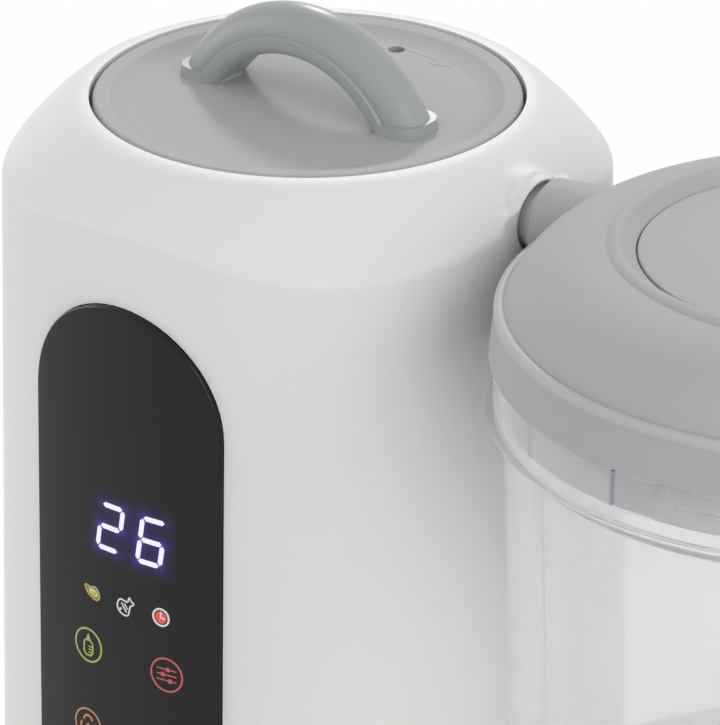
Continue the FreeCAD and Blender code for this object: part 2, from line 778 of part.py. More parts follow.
def bottom_cover():
    """Tray that closes the base, with vents under the motor and posts for the power board."""
    body = piece("bottom_cover", TOWER)
    inside = AXIS_DISTANCE / 2
    for name, centre in (("tower_tray", Size.of(0.0)), ("pod_tray", AXIS_DISTANCE)):
        leaning(body, name, s.foot_height, BASE_LEVEL, 0, centre)
    neck = box(sketch(body, "XY_Plane", "neck_plan", s.foot_height), inside - s.neck_reach, -s.neck_half,
               inside + s.neck_reach, s.neck_half)
    extrude(body, "neck", neck, s.cover_height)
    floor = s.foot_height + s.wall
    for name, centre in (("tower_hollow", Size.of(0.0)), ("pod_hollow", AXIS_DISTANCE)):
        leaning(body, name, floor, BASE_LEVEL, s.wall, centre, cut=True)
    duct_half = s.neck_half - s.wall
    duct_reach = s.neck_reach + s.wall
    duct = box(sketch(body, "XY_Plane", "duct_plan", floor), inside - duct_reach, -duct_half,
               inside + duct_reach,
               duct_half)
    extrude(body, "duct", duct, s.cover_height, cut=True, back=True)
    posts = sketch(body, "XY_Plane", "post_plan", s.foot_height + s.wall / 2)
    for across, along in corners(POWER_BOARD_HALF - 2 * s.post_radius):
        circle(posts, across, along, s.post_radius)
    extrude(body, "board_posts", posts, POWER_BOARD_LEVEL - s.foot_height - s.wall / 2)
    vents = sketch(body, "XY_Plane", "vent_plan", s.foot_height - 1)
    for step in (-2, -1, 0, 1, 2):
        middle = s.vent_pitch * step if step else Size.of(0.0)
        box(vents, AXIS_DISTANCE - s.vent_length / 2, middle - s.vent_width / 2,
            AXIS_DISTANCE + s.vent_length / 2,
            middle + s.vent_width / 2)
    extrude(body, "vents", vents, s.wall + 2, cut=True, back=True)


def control_panel():
    """Dark touch lens that follows the tower's front wall inside the housing's window."""
    body = piece("control_panel", TOWER)
    margin = s.panel_margin
    low, high = PANEL_LOW - margin, PANEL_HIGH + margin
    leaning(body, "skin", low, high, -s.panel_proud)
    leaning(body, "back", low, high, s.wall, cut=True)
    trim = sketch(body, "XZ_Plane", "trim_outline")
    box(trim, -2 * s.tower_half, low - margin, 2 * s.tower_half, high + margin)
    stadium(trim, s.panel_half, PANEL_LOW, PANEL_HIGH)
    extrude(body, "trim", trim, THROUGH, cut=True, both=True)
    rear = sketch(body, "XZ_Plane", "rear_outline")
    box(rear, -2 * s.tower_half, low - margin, 2 * s.tower_half, high + margin)
    lens = extrude(body, "rear", rear, THROUGH, cut=True)
    soften(body, "rim", lens, s.panel_edge, lambda edge: is_front_rim(lens.Shape, edge))


def is_front_rim(shape, edge):
    """Tell an edge where the lens's outer skin meets its side wall."""
    facing = [face.normalAt(*middle_of(face)).y < -0.5 for face in shape.ancestorsOfType(edge, Part.Face)]
    return any(facing) and not all(facing)


def middle_of(face):
    """Surface parameters at the middle of a face."""
    first, last, low, high = face.ParameterRange
    return (first + last) / 2, (low + high) / 2


def panel_carrier():
    """Frame behind the lens that backs its edge and holds the display board."""
    body = piece("panel_carrier", TOWER)
    margin = s.panel_margin
    low, high = PANEL_LOW - margin, PANEL_HIGH + margin
    leaning(body, "block", low, high, s.wall)
    trim = sketch(body, "XZ_Plane", "trim_outline")
    box(trim, -2 * s.tower_half, low - margin, 2 * s.tower_half, high + margin)
    edge = s.carrier_margin
    stadium(trim, s.panel_half + edge, PANEL_LOW - edge, PANEL_HIGH + edge)
    extrude(body, "trim", trim, THROUGH, cut=True, both=True)
    hole = stadium(sketch(body, "XZ_Plane", "hole_outline"), s.panel_half - edge, PANEL_LOW + edge,
                   PANEL_HIGH - edge)
    extrude(body, "hole", hole, THROUGH, cut=True, both=True)
    rear = sketch(body, "XZ_Plane", "rear_outline", BOARD_SETBACK)
    box(rear, -2 * s.tower_half, low - margin, 2 * s.tower_half, high + margin)
    extrude(body, "rear", rear, THROUGH, cut=True)


def display_board():
    """Circuit board on the back of the carrier."""
    body = piece("display_board", TOWER)
    plan = sketch(body, "XZ_Plane", "outline", BOARD_SETBACK - s.board_thickness)
    stadium(plan, s.panel_half, PANEL_LOW, PANEL_HIGH)
    extrude(body, "board", plan, s.board_thickness)


def digit_display():
    """Two-digit light module on the front of the display board."""
    body = piece("digit_display", TOWER)
    low = s.lid_level - s.display_drop - s.display_height / 2
    plan = sketch(body, "XZ_Plane", "outline", BOARD_SETBACK)
    box(plan, -s.display_half, low, s.display_half, low + s.display_height)
    extrude(body, "module", plan, s.display_depth)


def touch_springs():
    """Sprung contacts between the board and the lens, one under each touch mark."""
    body = piece("touch_springs", TOWER)
    high = s.lid_level - s.touch_drop
    plan = sketch(body, "XZ_Plane", "outline", BOARD_SETBACK)
    for across in (-s.touch_offset, s.touch_offset):
        for level in (high, high - s.touch_pitch):
            circle(plan, across, level, s.touch_radius)
    extrude(body, "springs", plan, s.board_depth - s.wall + flare_at(high) - s.touch_slack)


def tower_lid():
    """Dished lid with a raised rim, resting on the recess's ledge."""
    body = piece("tower_lid", TOWER)
    rest = LEDGE_LEVEL + s.seat_gap
    skirt, low, under = LID_SKIRT_RADIUS, LID_SKIRT_LOW, LID_UNDERSIDE
    rim, edge = LID_RADIUS - s.lid_skin, s.lid_edge
    turned(body, "dish", (0, LID_FLOOR), (0, under), (skirt - s.lid_skin, under), (skirt - s.lid_skin, low),
           (skirt, low), (skirt, rest), (LID_RADIUS, rest), (LID_RADIUS, s.lid_level - edge),
           (LID_RADIUS - edge, s.lid_level, edge, 1), (LID_RISE_RADIUS, s.lid_level - s.lid_edge / 3),
           (LID_FLOOR_RADIUS, LID_FLOOR, s.lid_ramp_bend, -1))
    ring(body, "rim_hollow", skirt, rim, rest - s.wall, rest + s.lid_skin / 2, cut=True)
    holes = sketch(body, "XY_Plane", "hole_plan", under - s.wall)
    circle(holes, -s.steam_hole_shift, LID_FLOOR_RADIUS - s.steam_hole_inset, s.steam_hole_radius)
    for side in (-1, 1):
        circle(holes, HANDLE_SPAN * side / 2, 0, s.lid_screw_radius + s.seat_gap)
    extrude(body, "holes", holes, s.lid_skin + s.wall * 2, cut=True, back=True)


def lid_handle():
    """Arched grip of the tower lid: a domed strip over a wider base, with flared feet."""
    body = piece("lid_handle", TOWER)
    inset = s.handle_strip_inset
    half, strip = s.handle_width / 2, s.handle_width / 2 - inset
    middle = HANDLE_CENTRE + HANDLE_RADIUS
    low, high = middle - s.handle_thickness / 2, middle + s.handle_thickness / 2
    step, under_edge = middle - s.handle_strip_drop, s.handle_under_edge
    crown = high - step - inset
    crown_radius = (strip * strip + crown * crown) / (2 * crown)
    section = outline(sketch(body, "YZ_Plane", "section"), (half - under_edge, low),
                      (half, low + under_edge, under_edge, 1), (half, step),
                      (strip, step + inset / 2), (strip, step + inset), (0, high, crown_radius, 1),
                      (-strip, step + inset, crown_radius, 1), (-strip, step + inset / 2), (-half, step),
                      (-half, low + under_edge), (-half + under_edge, low, under_edge, 1))
    spin(body, "arch", section, HANDLE_CENTRE, 180)
    reach = HANDLE_SPAN
    under = box(sketch(body, "XY_Plane", "under_plan", LID_FLOOR), -reach, -reach, reach, reach)
    extrude(body, "under", under, reach, cut=True)
    feet = sketch(body, "XY_Plane", "feet_plan", LID_FLOOR)
    length, width, bend = s.handle_foot_length / 2, half + s.handle_foot_margin, s.handle_foot_bend
    for side in (-1, 1):
        spot = (HANDLE_SPAN / 2 - s.handle_foot_shift) * side
        outline(feet, (spot + length - bend, -width), (spot + length, -width + bend, bend, 1),
                (spot + length, width - bend), (spot + length - bend, width, bend, 1),
                (spot - length + bend, width),
                (spot - length, width - bend, bend, 1), (spot - length, -width + bend),
                (spot - length + bend, -width, bend, 1))
    pads = extrude(body, "feet", feet, s.handle_foot_height)
    bind(pads, "TaperAngle", -s.handle_foot_lean)
    holes = sketch(body, "XY_Plane", "screw_plan", LID_FLOOR)
    for side in (-1, 1):
        circle(holes, HANDLE_SPAN * side / 2, 0, s.lid_screw_radius)
    extrude(body, "screw_holes", holes, s.lid_screw_reach, cut=True, back=True)


def lid_screws():
    """Screws from under the lid into the handle's feet."""
    body = piece("lid_screws", TOWER)
    head = s.lid_screw_radius * 4 / 3
    heads = sketch(body, "XY_Plane", "head_plan", LID_UNDERSIDE - head)
    shanks = sketch(body, "XY_Plane", "shank_plan", LID_UNDERSIDE)
    for side in (-1, 1):
        circle(heads, HANDLE_SPAN * side / 2, 0, s.lid_screw_radius * 2)
        circle(shanks, HANDLE_SPAN * side / 2, 0, s.lid_screw_radius)
    extrude(body, "heads", heads, head)
    extrude(body, "shanks", shanks, s.lid_skin + s.lid_screw_reach)


def lid_seal():
    """Soft ring under the lid's skirt that closes the chamber's mouth."""
    body = piece("lid_seal", TOWER)
    ring(body, "ring", LID_SKIRT_RADIUS - s.lid_skin, LID_SKIRT_RADIUS + s.lid_seal_proud,
         LID_SKIRT_LOW - s.lid_seal_height, LID_SKIRT_LOW)


def chamber():
    """Deep drawn warming cup that hangs by its flange under the steam tube."""
    body = piece("chamber", TOWER)
    inner = CHAMBER_RADIUS - s.chamber_wall
    low, floor = CHAMBER_FLOOR, CHAMBER_FLOOR + s.chamber_wall
    top = FLANGE_LEVEL
    bend, rise = s.chamber_corner, s.chamber_corner - s.chamber_wall
    flange = CHAMBER_RADIUS + s.chamber_flange
    turned(body, "cup", (0, low), (CHAMBER_RADIUS - bend, low), (CHAMBER_RADIUS, low + bend, bend, 1),
           (CHAMBER_RADIUS, top - s.chamber_wall), (flange, top - s.chamber_wall), (flange, top),
           (inner, top),
           (inner, floor + rise), (inner - rise, floor, rise, -1), (0, floor))


def chamber_parts():
    """Seal, heater plate, heating element and thermostat of the chamber."""
    seal = piece("chamber_seal", TOWER)
    ring(seal, "ring", CHAMBER_RADIUS + s.chamber_seal_gap, CHAMBER_RADIUS + s.chamber_flange,
         FLANGE_LEVEL, SEAM_LEVEL)
    plate = piece("heater_plate", TOWER)
    low, edge = CHAMBER_FLOOR - s.heater_thickness, s.heater_edge
    radius = CHAMBER_RADIUS - s.chamber_corner
    turned(plate, "disc", (0, low), (radius - edge, low), (radius, low + edge), (radius, CHAMBER_FLOOR),
           (0, CHAMBER_FLOOR))
    element = piece("heating_element", TOWER)
    middle = low - s.element_tube
    section = circle(sketch(element, "XZ_Plane", "section"), s.element_radius, middle, s.element_tube)
    tube = element.newObject("PartDesign::Revolution", "tube")
    tube.Profile = section
    tube.ReferenceAxis = (section, ["V_Axis"])
    bind(tube, "Angle", s.element_turn)
    ends = sketch(element, "XY_Plane", "terminal_plan", middle)
    for turn in (s.terminal_inset, -s.terminal_inset - (360 - s.element_turn)):
        circle(ends, s.element_radius * turn.cosine(), s.element_radius * turn.sine(), s.terminal_radius)
    extrude(element, "terminals", ends, s.terminal_length, back=True)
    switch = piece("thermostat", TOWER)
    base, flange = low - s.thermostat_height, low - s.thermostat_flange
    turned(switch, "case", (0, base), (s.thermostat_body, base), (s.thermostat_body, flange),
           (s.thermostat_radius, flange), (s.thermostat_radius, low), (0, low))


def outlet_parts():
    """Sleeve and soft docking seal of the steam outlet."""
    sleeve = piece("steam_sleeve", TOWER)
    inside = MOUTH_RADIUS + s.sleeve_setback
    rounds = sketch(sleeve, "YZ_Plane", "rounds", inside)
    circle(rounds, 0, OUTLET_LEVEL, OUTLET_BORE)
    circle(rounds, 0, OUTLET_LEVEL, SLEEVE_BORE)
    extrude(sleeve, "tube", rounds, OUTLET_SEAT - inside)
    seal = piece("outlet_seal", TOWER)
    flange, lip = OUTLET_SEAT + s.seal_flange_length, SEAL_REACH - s.seal_lip_length
    steps = (("flange", s.seal_radius, OUTLET_SEAT, flange),
             ("groove", s.seal_radius - s.seal_groove_depth, flange, lip),
             ("lip", s.seal_radius - s.seal_lip_depth, lip, SEAL_REACH))
    for name, radius, start, stop in steps:
        drawing = sketch(seal, "YZ_Plane", f"{name}_rounds", start)
        circle(drawing, 0, OUTLET_LEVEL, radius)
        circle(drawing, 0, OUTLET_LEVEL, SLEEVE_BORE)
        extrude(seal, name, drawing, stop - start)


def power_parts():
    """Power board with its transformer, relay and capacitors, and the screws that hold it."""
    half = POWER_BOARD_HALF
    board = piece("power_board", TOWER)
    extrude(board, "board", box(sketch(board, "XY_Plane", "plan", POWER_BOARD_LEVEL), -half, -half, half,
                                half),
            s.board_thickness)
    parts = piece("board_parts", TOWER)
    top = POWER_BOARD_LEVEL + s.board_thickness
    blocks = sketch(parts, "XY_Plane", "block_plan", top)
    side, length, width = s.transformer_side / 2, s.relay_length / 2, s.relay_width / 2
    box(blocks, -s.transformer_left - side, -s.transformer_front - side, -s.transformer_left + side,
        -s.transformer_front + side)
    box(blocks, s.relay_right - length, -s.relay_front - width, s.relay_right + length,
        -s.relay_front + width)
    extrude(parts, "blocks", blocks, s.transformer_height)
    cans = sketch(parts, "XY_Plane", "can_plan", top)
    circle(cans, s.capacitor_right, s.capacitor_back, s.capacitor_radius)
    circle(cans, -s.choke_left, s.choke_back, s.choke_radius)
    extrude(parts, "cans", cans, s.capacitor_height)
    rods("board_screws", TOWER, corners(half - 2 * s.post_radius), s.board_screw_radius, top,
         top + s.board_screw_height)


def mains_inlet():
    """Two-pin inlet on the tower's back, its flange shaped to the wall."""
    body = piece("mains_inlet", TOWER)
    middle, rim, wall = s.inlet_level, s.inlet_flange, s.inlet_wall
    back = s.tower_half + flare_at(middle)
    across, high = s.inlet_half - s.inlet_gap, s.inlet_height / 2 - s.inlet_gap
    plate = sketch(body, "XZ_Plane", "plate_outline", s.wall - back)
    box(plate, -across - rim, middle - high - rim, across + rim, middle + high + rim)
    extrude(body, "plate", plate, s.wall + s.inlet_proud, back=True)
    leaning(body, "wall_fit", middle - 2 * s.inlet_height, middle + 2 * s.inlet_height, -s.inlet_seat,
            cut=True)
    case = box(sketch(body, "XZ_Plane", "case_outline", -back), -across, middle - high, across,
               middle + high)
    extrude(body, "case", case, s.inlet_depth)
    front = back + s.inlet_proud + s.wall
    well = sketch(body, "XZ_Plane", "well_outline", -front)
    box(well, -across + wall, middle - high + wall, across - wall, middle + high - wall)
    extrude(body, "well", well, front - back + s.inlet_depth - s.inlet_back, cut=True, back=True)
    pins = sketch(body, "XZ_Plane", "pin_outline", s.inlet_depth - s.inlet_back - back)
    for side in (-1, 1):
        circle(pins, s.inlet_pin_offset * side, middle, s.inlet_pin_radius)
    extrude(body, "pins", pins, s.inlet_depth - s.inlet_back - s.inlet_pin_setback, back=True)


def motor():
    """Direct current motor under the jar: can, magnets, plate, grommets and bearings."""
    can = piece("motor_can", JAR)
    inner, seat = MOTOR_INNER, s.bearing_radius
    top, low = MOTOR_HIGH, MOTOR_LOW
    cap, base = MOTOR_CAP, low - s.motor_cap_height
    turned(can, "case", (inner, low), (s.motor_radius, low), (s.motor_radius, top), (seat, top),
           (seat, cap),
           (inner, cap))
    end = piece("motor_end_cap", JAR)
    turned(end, "cap", (seat, base), (s.motor_radius, base), (s.motor_radius, low), (inner, low),
           (inner, low + s.brush_plate), (seat, low + s.brush_plate))
    magnets = piece("magnets", JAR)
    ring(magnets, "ring", inner - s.magnet_thickness, inner, low + s.magnet_margin, cap - s.magnet_margin)
    split = box(sketch(magnets, "XY_Plane", "split_plan", low), -s.motor_radius, -s.magnet_split / 2,
                s.motor_radius,
                s.magnet_split / 2)
    extrude(magnets, "split", split, THROUGH, cut=True, back=True)
    plate = piece("motor_plate", JAR)
    half = s.motor_plate_half
    drawing = box(sketch(plate, "XY_Plane", "plan", top), -half, -half, half, half)
    circle(drawing, 0, 0, s.bearing_radius + s.plate_gap)
    extrude(plate, "plate", drawing, s.motor_plate_thickness)
    rods("motor_grommets", JAR, corners(s.motor_post_offset), s.post_radius + s.grommet_wall,
         MOTOR_PLATE_TOP,
         MOTOR_PLATE_TOP + s.grommet_height)
    bearings = piece("motor_bearings", JAR)
    bore = s.shaft_radius + s.bearing_slack
    ring(bearings, "upper", bore, seat, MOTOR_PLATE_TOP - s.bearing_height, MOTOR_PLATE_TOP)
    ring(bearings, "lower", bore, seat, base, base + s.bearing_height)


def armature():
    """Turning group of the motor: shaft, slotted core and commutator."""
    shaft = piece("motor_shaft", JAR)
    top = COUPLING_LOW + s.coupling_disc
    turned(shaft, "shaft", (0, FAN_LEVEL), (s.shaft_radius, FAN_LEVEL), (s.shaft_radius, top), (0, top))
    core = piece("armature", JAR)
    radius = MOTOR_INNER - s.magnet_thickness - s.core_gap
    start = (MOTOR_LOW + MOTOR_CAP) / 2 + s.motor_wall - s.core_length / 2
    plan = sketch(core, "XY_Plane", "plan", start)
    circle(plan, 0, 0, radius)
    circle(plan, 0, 0, s.shaft_radius)
    extrude(core, "stack", plan, s.core_length)
    half = s.core_slot_width / 2
    slot = box(sketch(core, "XY_Plane", "slot_plan", start), radius - s.core_slot_depth, -half,
               radius + half, half)
    spaced(core, "slots", extrude(core, "slot", slot, s.core_length, cut=True, back=True), 8)
    segments = piece("commutator", JAR)
    low = MOTOR_LOW + s.brush_plate + s.commutator_gap
    ring(segments, "ring", s.shaft_radius, s.shaft_radius + s.commutator_wall, low,
         start - s.commutator_gap)


def cooling_fan():
    """Fan on the lower end of the motor's shaft."""
    body = piece("cooling_fan", JAR)
    high, hub, half = FAN_LEVEL + s.fan_height, s.shaft_radius + s.fan_hub, s.fan_vane / 2
    ring(body, "disc", s.shaft_radius, s.fan_radius, high - s.fan_disc, high)
    ring(body, "hub", s.shaft_radius, hub, FAN_LEVEL, high)
    plan = box(sketch(body, "XY_Plane", "vane_plan", FAN_LEVEL), hub - half, -half, s.fan_radius, half)
    spaced(body, "vanes", extrude(body, "vane", plan, s.fan_height), 8)


def jaw(body, low, hub, upward):
    """Jaw half of the drive coupling: a disc with teeth that stand up or hang down."""
    ring(body, "disc", hub, s.coupling_radius, low, low + s.coupling_disc)
    half = s.coupling_tooth_angle / 2
    foot = low + s.coupling_disc - s.tooth_root if upward else low - s.tooth_height
    plan = sketch(body, "XY_Plane", "tooth_plan", foot)
    turn = half if upward else half + 180 / s.coupling_teeth
    back = -half if upward else -half + 180 / s.coupling_teeth
    inner, outer = s.coupling_core, s.coupling_radius
    outline(plan, (inner * back.cosine(), inner * back.sine()),
            (outer * back.cosine(), outer * back.sine()),
            (outer * turn.cosine(), outer * turn.sine(), outer, 1),
            (inner * turn.cosine(), inner * turn.sine()))
    tooth = extrude(body, "tooth", plan, s.tooth_height + s.tooth_root)
    spaced(body, "teeth", tooth, s.coupling_teeth)


def jar():
    """Clear jar with a thick rim band, a bead under it and a floor with the blade unit's hole."""
    body = piece("jar", JAR)
    skin, bend, edge = s.jar_skin, s.jar_corner, s.bead_edge
    bead_low, bead_high = BEAD_LEVEL - s.bead_height / 2, BEAD_LEVEL + s.bead_height / 2
    hole = s.bush_radius + s.bush_gap
    turned(body, "wall", (hole, JAR_LOW), (JAR_BOTTOM_RADIUS - bend, JAR_LOW),
           (JAR_BOTTOM_RADIUS, JAR_LOW + bend, bend, 1), (JAR_TOP_RADIUS, SHOULDER_LEVEL),
           (BAND_RADIUS, bead_low),
           (BEAD_RADIUS, bead_low + edge), (BEAD_RADIUS, bead_high - edge), (BAND_RADIUS, bead_high),
           (BAND_RADIUS, JAR_RIM), (s.jar_mouth_radius, JAR_RIM), (s.jar_mouth_radius, SHOULDER_LEVEL),
           (JAR_TOP_RADIUS - skin, SHOULDER_LEVEL - skin),
           (JAR_BOTTOM_RADIUS - skin, JAR_FLOOR + bend - skin),
           (JAR_BOTTOM_RADIUS - bend, JAR_FLOOR, bend - skin, -1), (hole, JAR_FLOOR))


def wall_radius(level):
    """Outer radius of the jar's leaning wall at a level."""
    low = JAR_LOW + s.jar_corner
    return JAR_BOTTOM_RADIUS + s.jar_taper * (level - low) / (SHOULDER_LEVEL - low)


def jar_collar():
    """Coloured ring round the jar's foot that seats on the pod's deck."""
    body = piece("jar_collar", JAR)
    outer, skin, edge, gap = COLLAR_RADIUS, s.collar_skin, s.collar_edge, s.bush_gap
    floor, low = JAR_LOW - s.collar_plate, JAR_LOW + s.jar_corner
    turned(body, "ring", (outer - skin, COLLAR_LOW), (outer, COLLAR_LOW), (outer, COLLAR_HIGH - edge),
           (outer - edge, COLLAR_HIGH, edge, 1), (wall_radius(COLLAR_HIGH) + gap, COLLAR_HIGH),
           (JAR_BOTTOM_RADIUS + gap, low), (JAR_BOTTOM_RADIUS - s.jar_corner + gap, JAR_LOW, s.jar_corner,
                                            -1),
           (s.collar_floor_hole, JAR_LOW), (s.collar_floor_hole, floor), (outer - skin, floor))


def grip():
    """Handle of the jar: a bow that stands off the wall, its ends shaped to the wall."""
    body = piece("jar_handle", JAR)
    reach, thick, bend = GRIP_REACH, s.grip_thickness, s.grip_corner
    high, low = GRIP_HIGH, GRIP_LOW
    start = JAR_BOTTOM_RADIUS - s.jar_skin
    inner_bend = bend - thick / 2
    side = sketch(body, "XZ_Plane", "bow_outline")
    outline(side, (start, high), (start, high - thick), (reach - thick - inner_bend, high - thick),
            (reach - thick, high - thick - inner_bend, inner_bend, -1),
            (reach - thick, low + thick + inner_bend),
            (reach - thick - inner_bend, low + thick, inner_bend, -1), (start, low + thick), (start, low),
            (reach - bend, low), (reach, low + bend, bend, 1), (reach, high - bend),
            (reach - bend, high, bend, 1))
    bow = extrude(body, "bow", side, s.grip_width, both=True)
    half = s.grip_width.number / 2
    soften(body, "bow_rim", bow, s.grip_edge,
           lambda edge: abs(abs(edge.BoundBox.YMin) - half) < 0.01
           and abs(edge.BoundBox.YMax - edge.BoundBox.YMin) < 0.01 and edge.BoundBox.XMax > start.number + 1)
    base, gap = JAR_LOW + s.jar_corner, s.bush_gap
    turned(body, "wall_fit", (0, base), (JAR_BOTTOM_RADIUS + gap, base),
           (JAR_TOP_RADIUS + gap, SHOULDER_LEVEL),
           (0, SHOULDER_LEVEL), cut=True)


def blade_unit():
    """Blade spindle in its bush, with the nut, the seals and the two bent blades."""
    bush = piece("blade_bush", JAR)
    bore = s.spindle_radius + s.bearing_slack
    hole = s.bush_radius + s.bush_gap
    low = DRIVEN_LOW + s.coupling_disc + s.seat_gap
    turned(bush, "bush", (bore, low), (s.bush_radius, low), (s.bush_radius, BUSH_SEAT),
           (s.bush_flange, BUSH_SEAT),
           (s.bush_flange, BUSH_SEAT + s.bush_flange_height), (s.bush_radius - s.spindle_radius, BUSH_TOP),
           (bore, BUSH_TOP))
    ring(piece("blade_seal", JAR), "ring", hole, s.bush_flange, JAR_FLOOR, BUSH_SEAT)
    ring(piece("blade_nut", JAR), "nut", hole, s.collar_floor_hole - s.bush_flange_height / 2,
         s.deck_level + s.well_rim_height + s.nut_lift, JAR_LOW)
    turned(piece("blade_spindle", JAR), "rod", (0, DRIVEN_LOW), (s.spindle_radius, DRIVEN_LOW),
           (s.spindle_radius, BLADE_TOP), (0, BLADE_TOP))
    jaw(piece("driven_coupling", JAR), DRIVEN_LOW, s.spindle_radius, False)
    blade("lower_blade", BLADE_LEVEL, -s.blade_dip, 45)
    blade("upper_blade", BLADE_LEVEL + s.blade_sheet, s.blade_rise, 135)
    top, edge = BLADE_TOP + s.cap_height, s.cap_edge
    turned(piece("blade_cap", JAR), "cap", (0, BLADE_TOP), (s.cap_radius, BLADE_TOP),
           (s.cap_radius, top - edge),
           (s.cap_radius - edge, top, edge, 1), (0, top))


def blade(label, level, lift, heading):
    """Bent cutting blade: a flat hub with two wings that rise or dip, each with a raked cutting edge."""
    body = piece(label, JAR)
    body.Placement.Rotation = FreeCAD.Rotation(FreeCAD.Vector(0, 0, 1), heading)
    hub, reach, sheet = s.blade_hub_half, s.blade_reach, s.blade_sheet
    side = sketch(body, "XZ_Plane", "strip_outline")
    tip = level + lift
    outline(side, (-hub, level), (hub, level), (reach, tip), (reach, tip + sheet), (hub, level + sheet),
            (-hub, level + sheet), (-reach, tip + sheet), (-reach, tip))
    extrude(body, "strip", side, s.blade_width, both=True)
    half, wide, past = s.blade_width / 2, s.blade_width, reach + hub
    low = level - s.blade_rise
    rake = sketch(body, "XY_Plane", "rake_plan", low)
    outline(rake, (hub, half), (past, -half / 2), (past, wide), (hub, wide))
    outline(rake, (-hub, -half), (-past, half / 2), (-past, -wide), (-hub, -wide))
    extrude(body, "rake", rake, 3 * s.blade_rise, cut=True, back=True)
    hole = circle(sketch(body, "XY_Plane", "hole_plan", low), 0, 0, s.spindle_radius)
    extrude(body, "hole", hole, 3 * s.blade_rise, cut=True, back=True)


def jar_lid():
    """Domed jar lid with a ridged skirt, a round bead about a sunk disc and the steam spout on its side."""
    body = piece("jar_lid", JAR)
    skin, edge, top = s.jar_lid_skin, s.disc_edge, s.lid_level
    inset = SKIRT_TOP_RADIUS - s.ridge_width
    across = inset - PLATEAU_RADIUS
    dome = (across * across + s.dome_fall * s.dome_fall) / (2 * s.dome_fall)
    bead = PLATEAU_RADIUS - s.ring_width
    crest = PLATEAU_RADIUS - s.ring_width / 2
    bend = (s.ring_width * s.ring_width / 4 + s.ring_height * s.ring_height) / (2 * s.ring_height)
    foot = bead - s.ring_slope
    disc = foot - s.disc_groove
    sunk = top - s.disc_drop
    pocket = sunk - s.disc_thickness
    turned(body, "shell", (0, pocket), (disc, pocket), (disc, sunk - edge), (foot, sunk), (bead, top),
           (crest, top + s.ring_height, bend, -1), (PLATEAU_RADIUS, top, bend, -1),
           (inset, SHELF_LEVEL, dome, -1), (SKIRT_TOP_RADIUS, SHELF_LEVEL - s.ridge_bend, s.ridge_bend, -1),
           (SKIRT_RADIUS, SKIRT_LEVEL), (SKIRT_RADIUS - skin, SKIRT_LEVEL),
           (SKIRT_TOP_RADIUS - skin, LINER_HIGH),
           (LINER_RADIUS - s.liner_skin, LINER_HIGH), (PLATEAU_RADIUS, pocket - skin, dome, 1),
           (0, pocket - skin))
    past = SPOUT_REACH + skin
    tip = circle(sketch(body, "YZ_Plane", "tip_round", -past), 0, OUTLET_LEVEL, s.spout_tip_radius)
    root = circle(sketch(body, "YZ_Plane", "root_round", s.spout_length - SPOUT_REACH), 0, OUTLET_LEVEL,
                  s.spout_root_radius)
    cone = body.newObject("PartDesign::AdditiveLoft", "spout")
    cone.Profile = tip
    cone.Sections = [root]
    cone.Ruled = True
    around = 2 * s.spout_root_radius
    ring(body, "spout_end", SPOUT_REACH, SPOUT_REACH + around, OUTLET_LEVEL - around,
         OUTLET_LEVEL + around, cut=True)
    inside = s.jar_mouth_radius + s.jar_rim_skin / 2
    ring(body, "mouth", 0, inside, SKIRT_LEVEL - s.spout_root_radius, LINER_HIGH, cut=True)
    hole = circle(sketch(body, "YZ_Plane", "bore_round", -past), 0, OUTLET_LEVEL, s.spout_bore)
    extrude(body, "bore", hole, s.spout_length + s.spout_root_radius, cut=True, back=True)


def lid_parts():
    """Inner skirt with its bayonet windows, the gasket and the inlaid disc of the jar lid."""
    liner = piece("lid_liner", JAR)
    liner.Placement.Rotation = FreeCAD.Rotation(FreeCAD.Vector(0, 0, 1), s.liner_turn.number)
    bind(liner, "Placement.Rotation.Angle", s.liner_turn)
    outer, inner = LINER_RADIUS, LINER_RADIUS - s.liner_skin
    ring(liner, "wall", inner, outer, LINER_LOW, LINER_HIGH)
    half = s.liner_window_half
    window = sketch(liner, "YZ_Plane", "window_outline", outer - outer / 2)
    box(window, -half, LINER_LOW + s.liner_window_lift, half, JAR_RIM - s.gasket_height)
    cut = extrude(liner, "window", window, outer, cut=True, back=True)
    pattern = liner.newObject("PartDesign::PolarPattern", "windows")
    pattern.Originals = [cut]
    pattern.Axis = (window, ["V_Axis"])
    pattern.Angle = 360
    pattern.Occurrences = 4
    liner.Tip = pattern
    groove, start = outer - s.gasket_depth, LINER_LOW + s.gasket_lift
    ring(liner, "gasket_groove", groove, outer + s.gasket_depth, start, start + s.gasket_height, cut=True)
    gasket = piece("lid_gasket", JAR)
    ring(gasket, "ring", groove, outer + s.gasket_proud, start, start + s.gasket_height)
    disc = piece("lid_disc", JAR)
    top, edge = s.lid_level - s.disc_drop, s.disc_edge
    rim = PLATEAU_RADIUS - s.ring_width - s.ring_slope - s.disc_groove - s.disc_gap
    low = top - s.disc_thickness
    turned(disc, "disc", (0, low), (rim, low), (rim, top - edge), (rim - edge, top, edge, 1), (0, top))


def feet_and_screws():
    """Rubber feet and the screws that hold the bottom cover."""
    foot, screw = s.tower_half - s.foot_inset, s.tower_half - s.cover_screw_inset
    right = AXIS_DISTANCE
    feet = [(-foot, -foot), (-foot, foot), (right + foot, -foot), (right + foot, foot)]
    rods("rubber_feet", TOWER, feet, s.foot_radius, Size.of(0.0), s.foot_height)
    places = [(-screw, 0), (0, screw), (right + screw, 0), (right, -screw), (right, screw)]
    rods("cover_screws", TOWER, places, s.cover_screw_radius * 2, s.foot_height - s.cover_screw_head,
         s.foot_height)


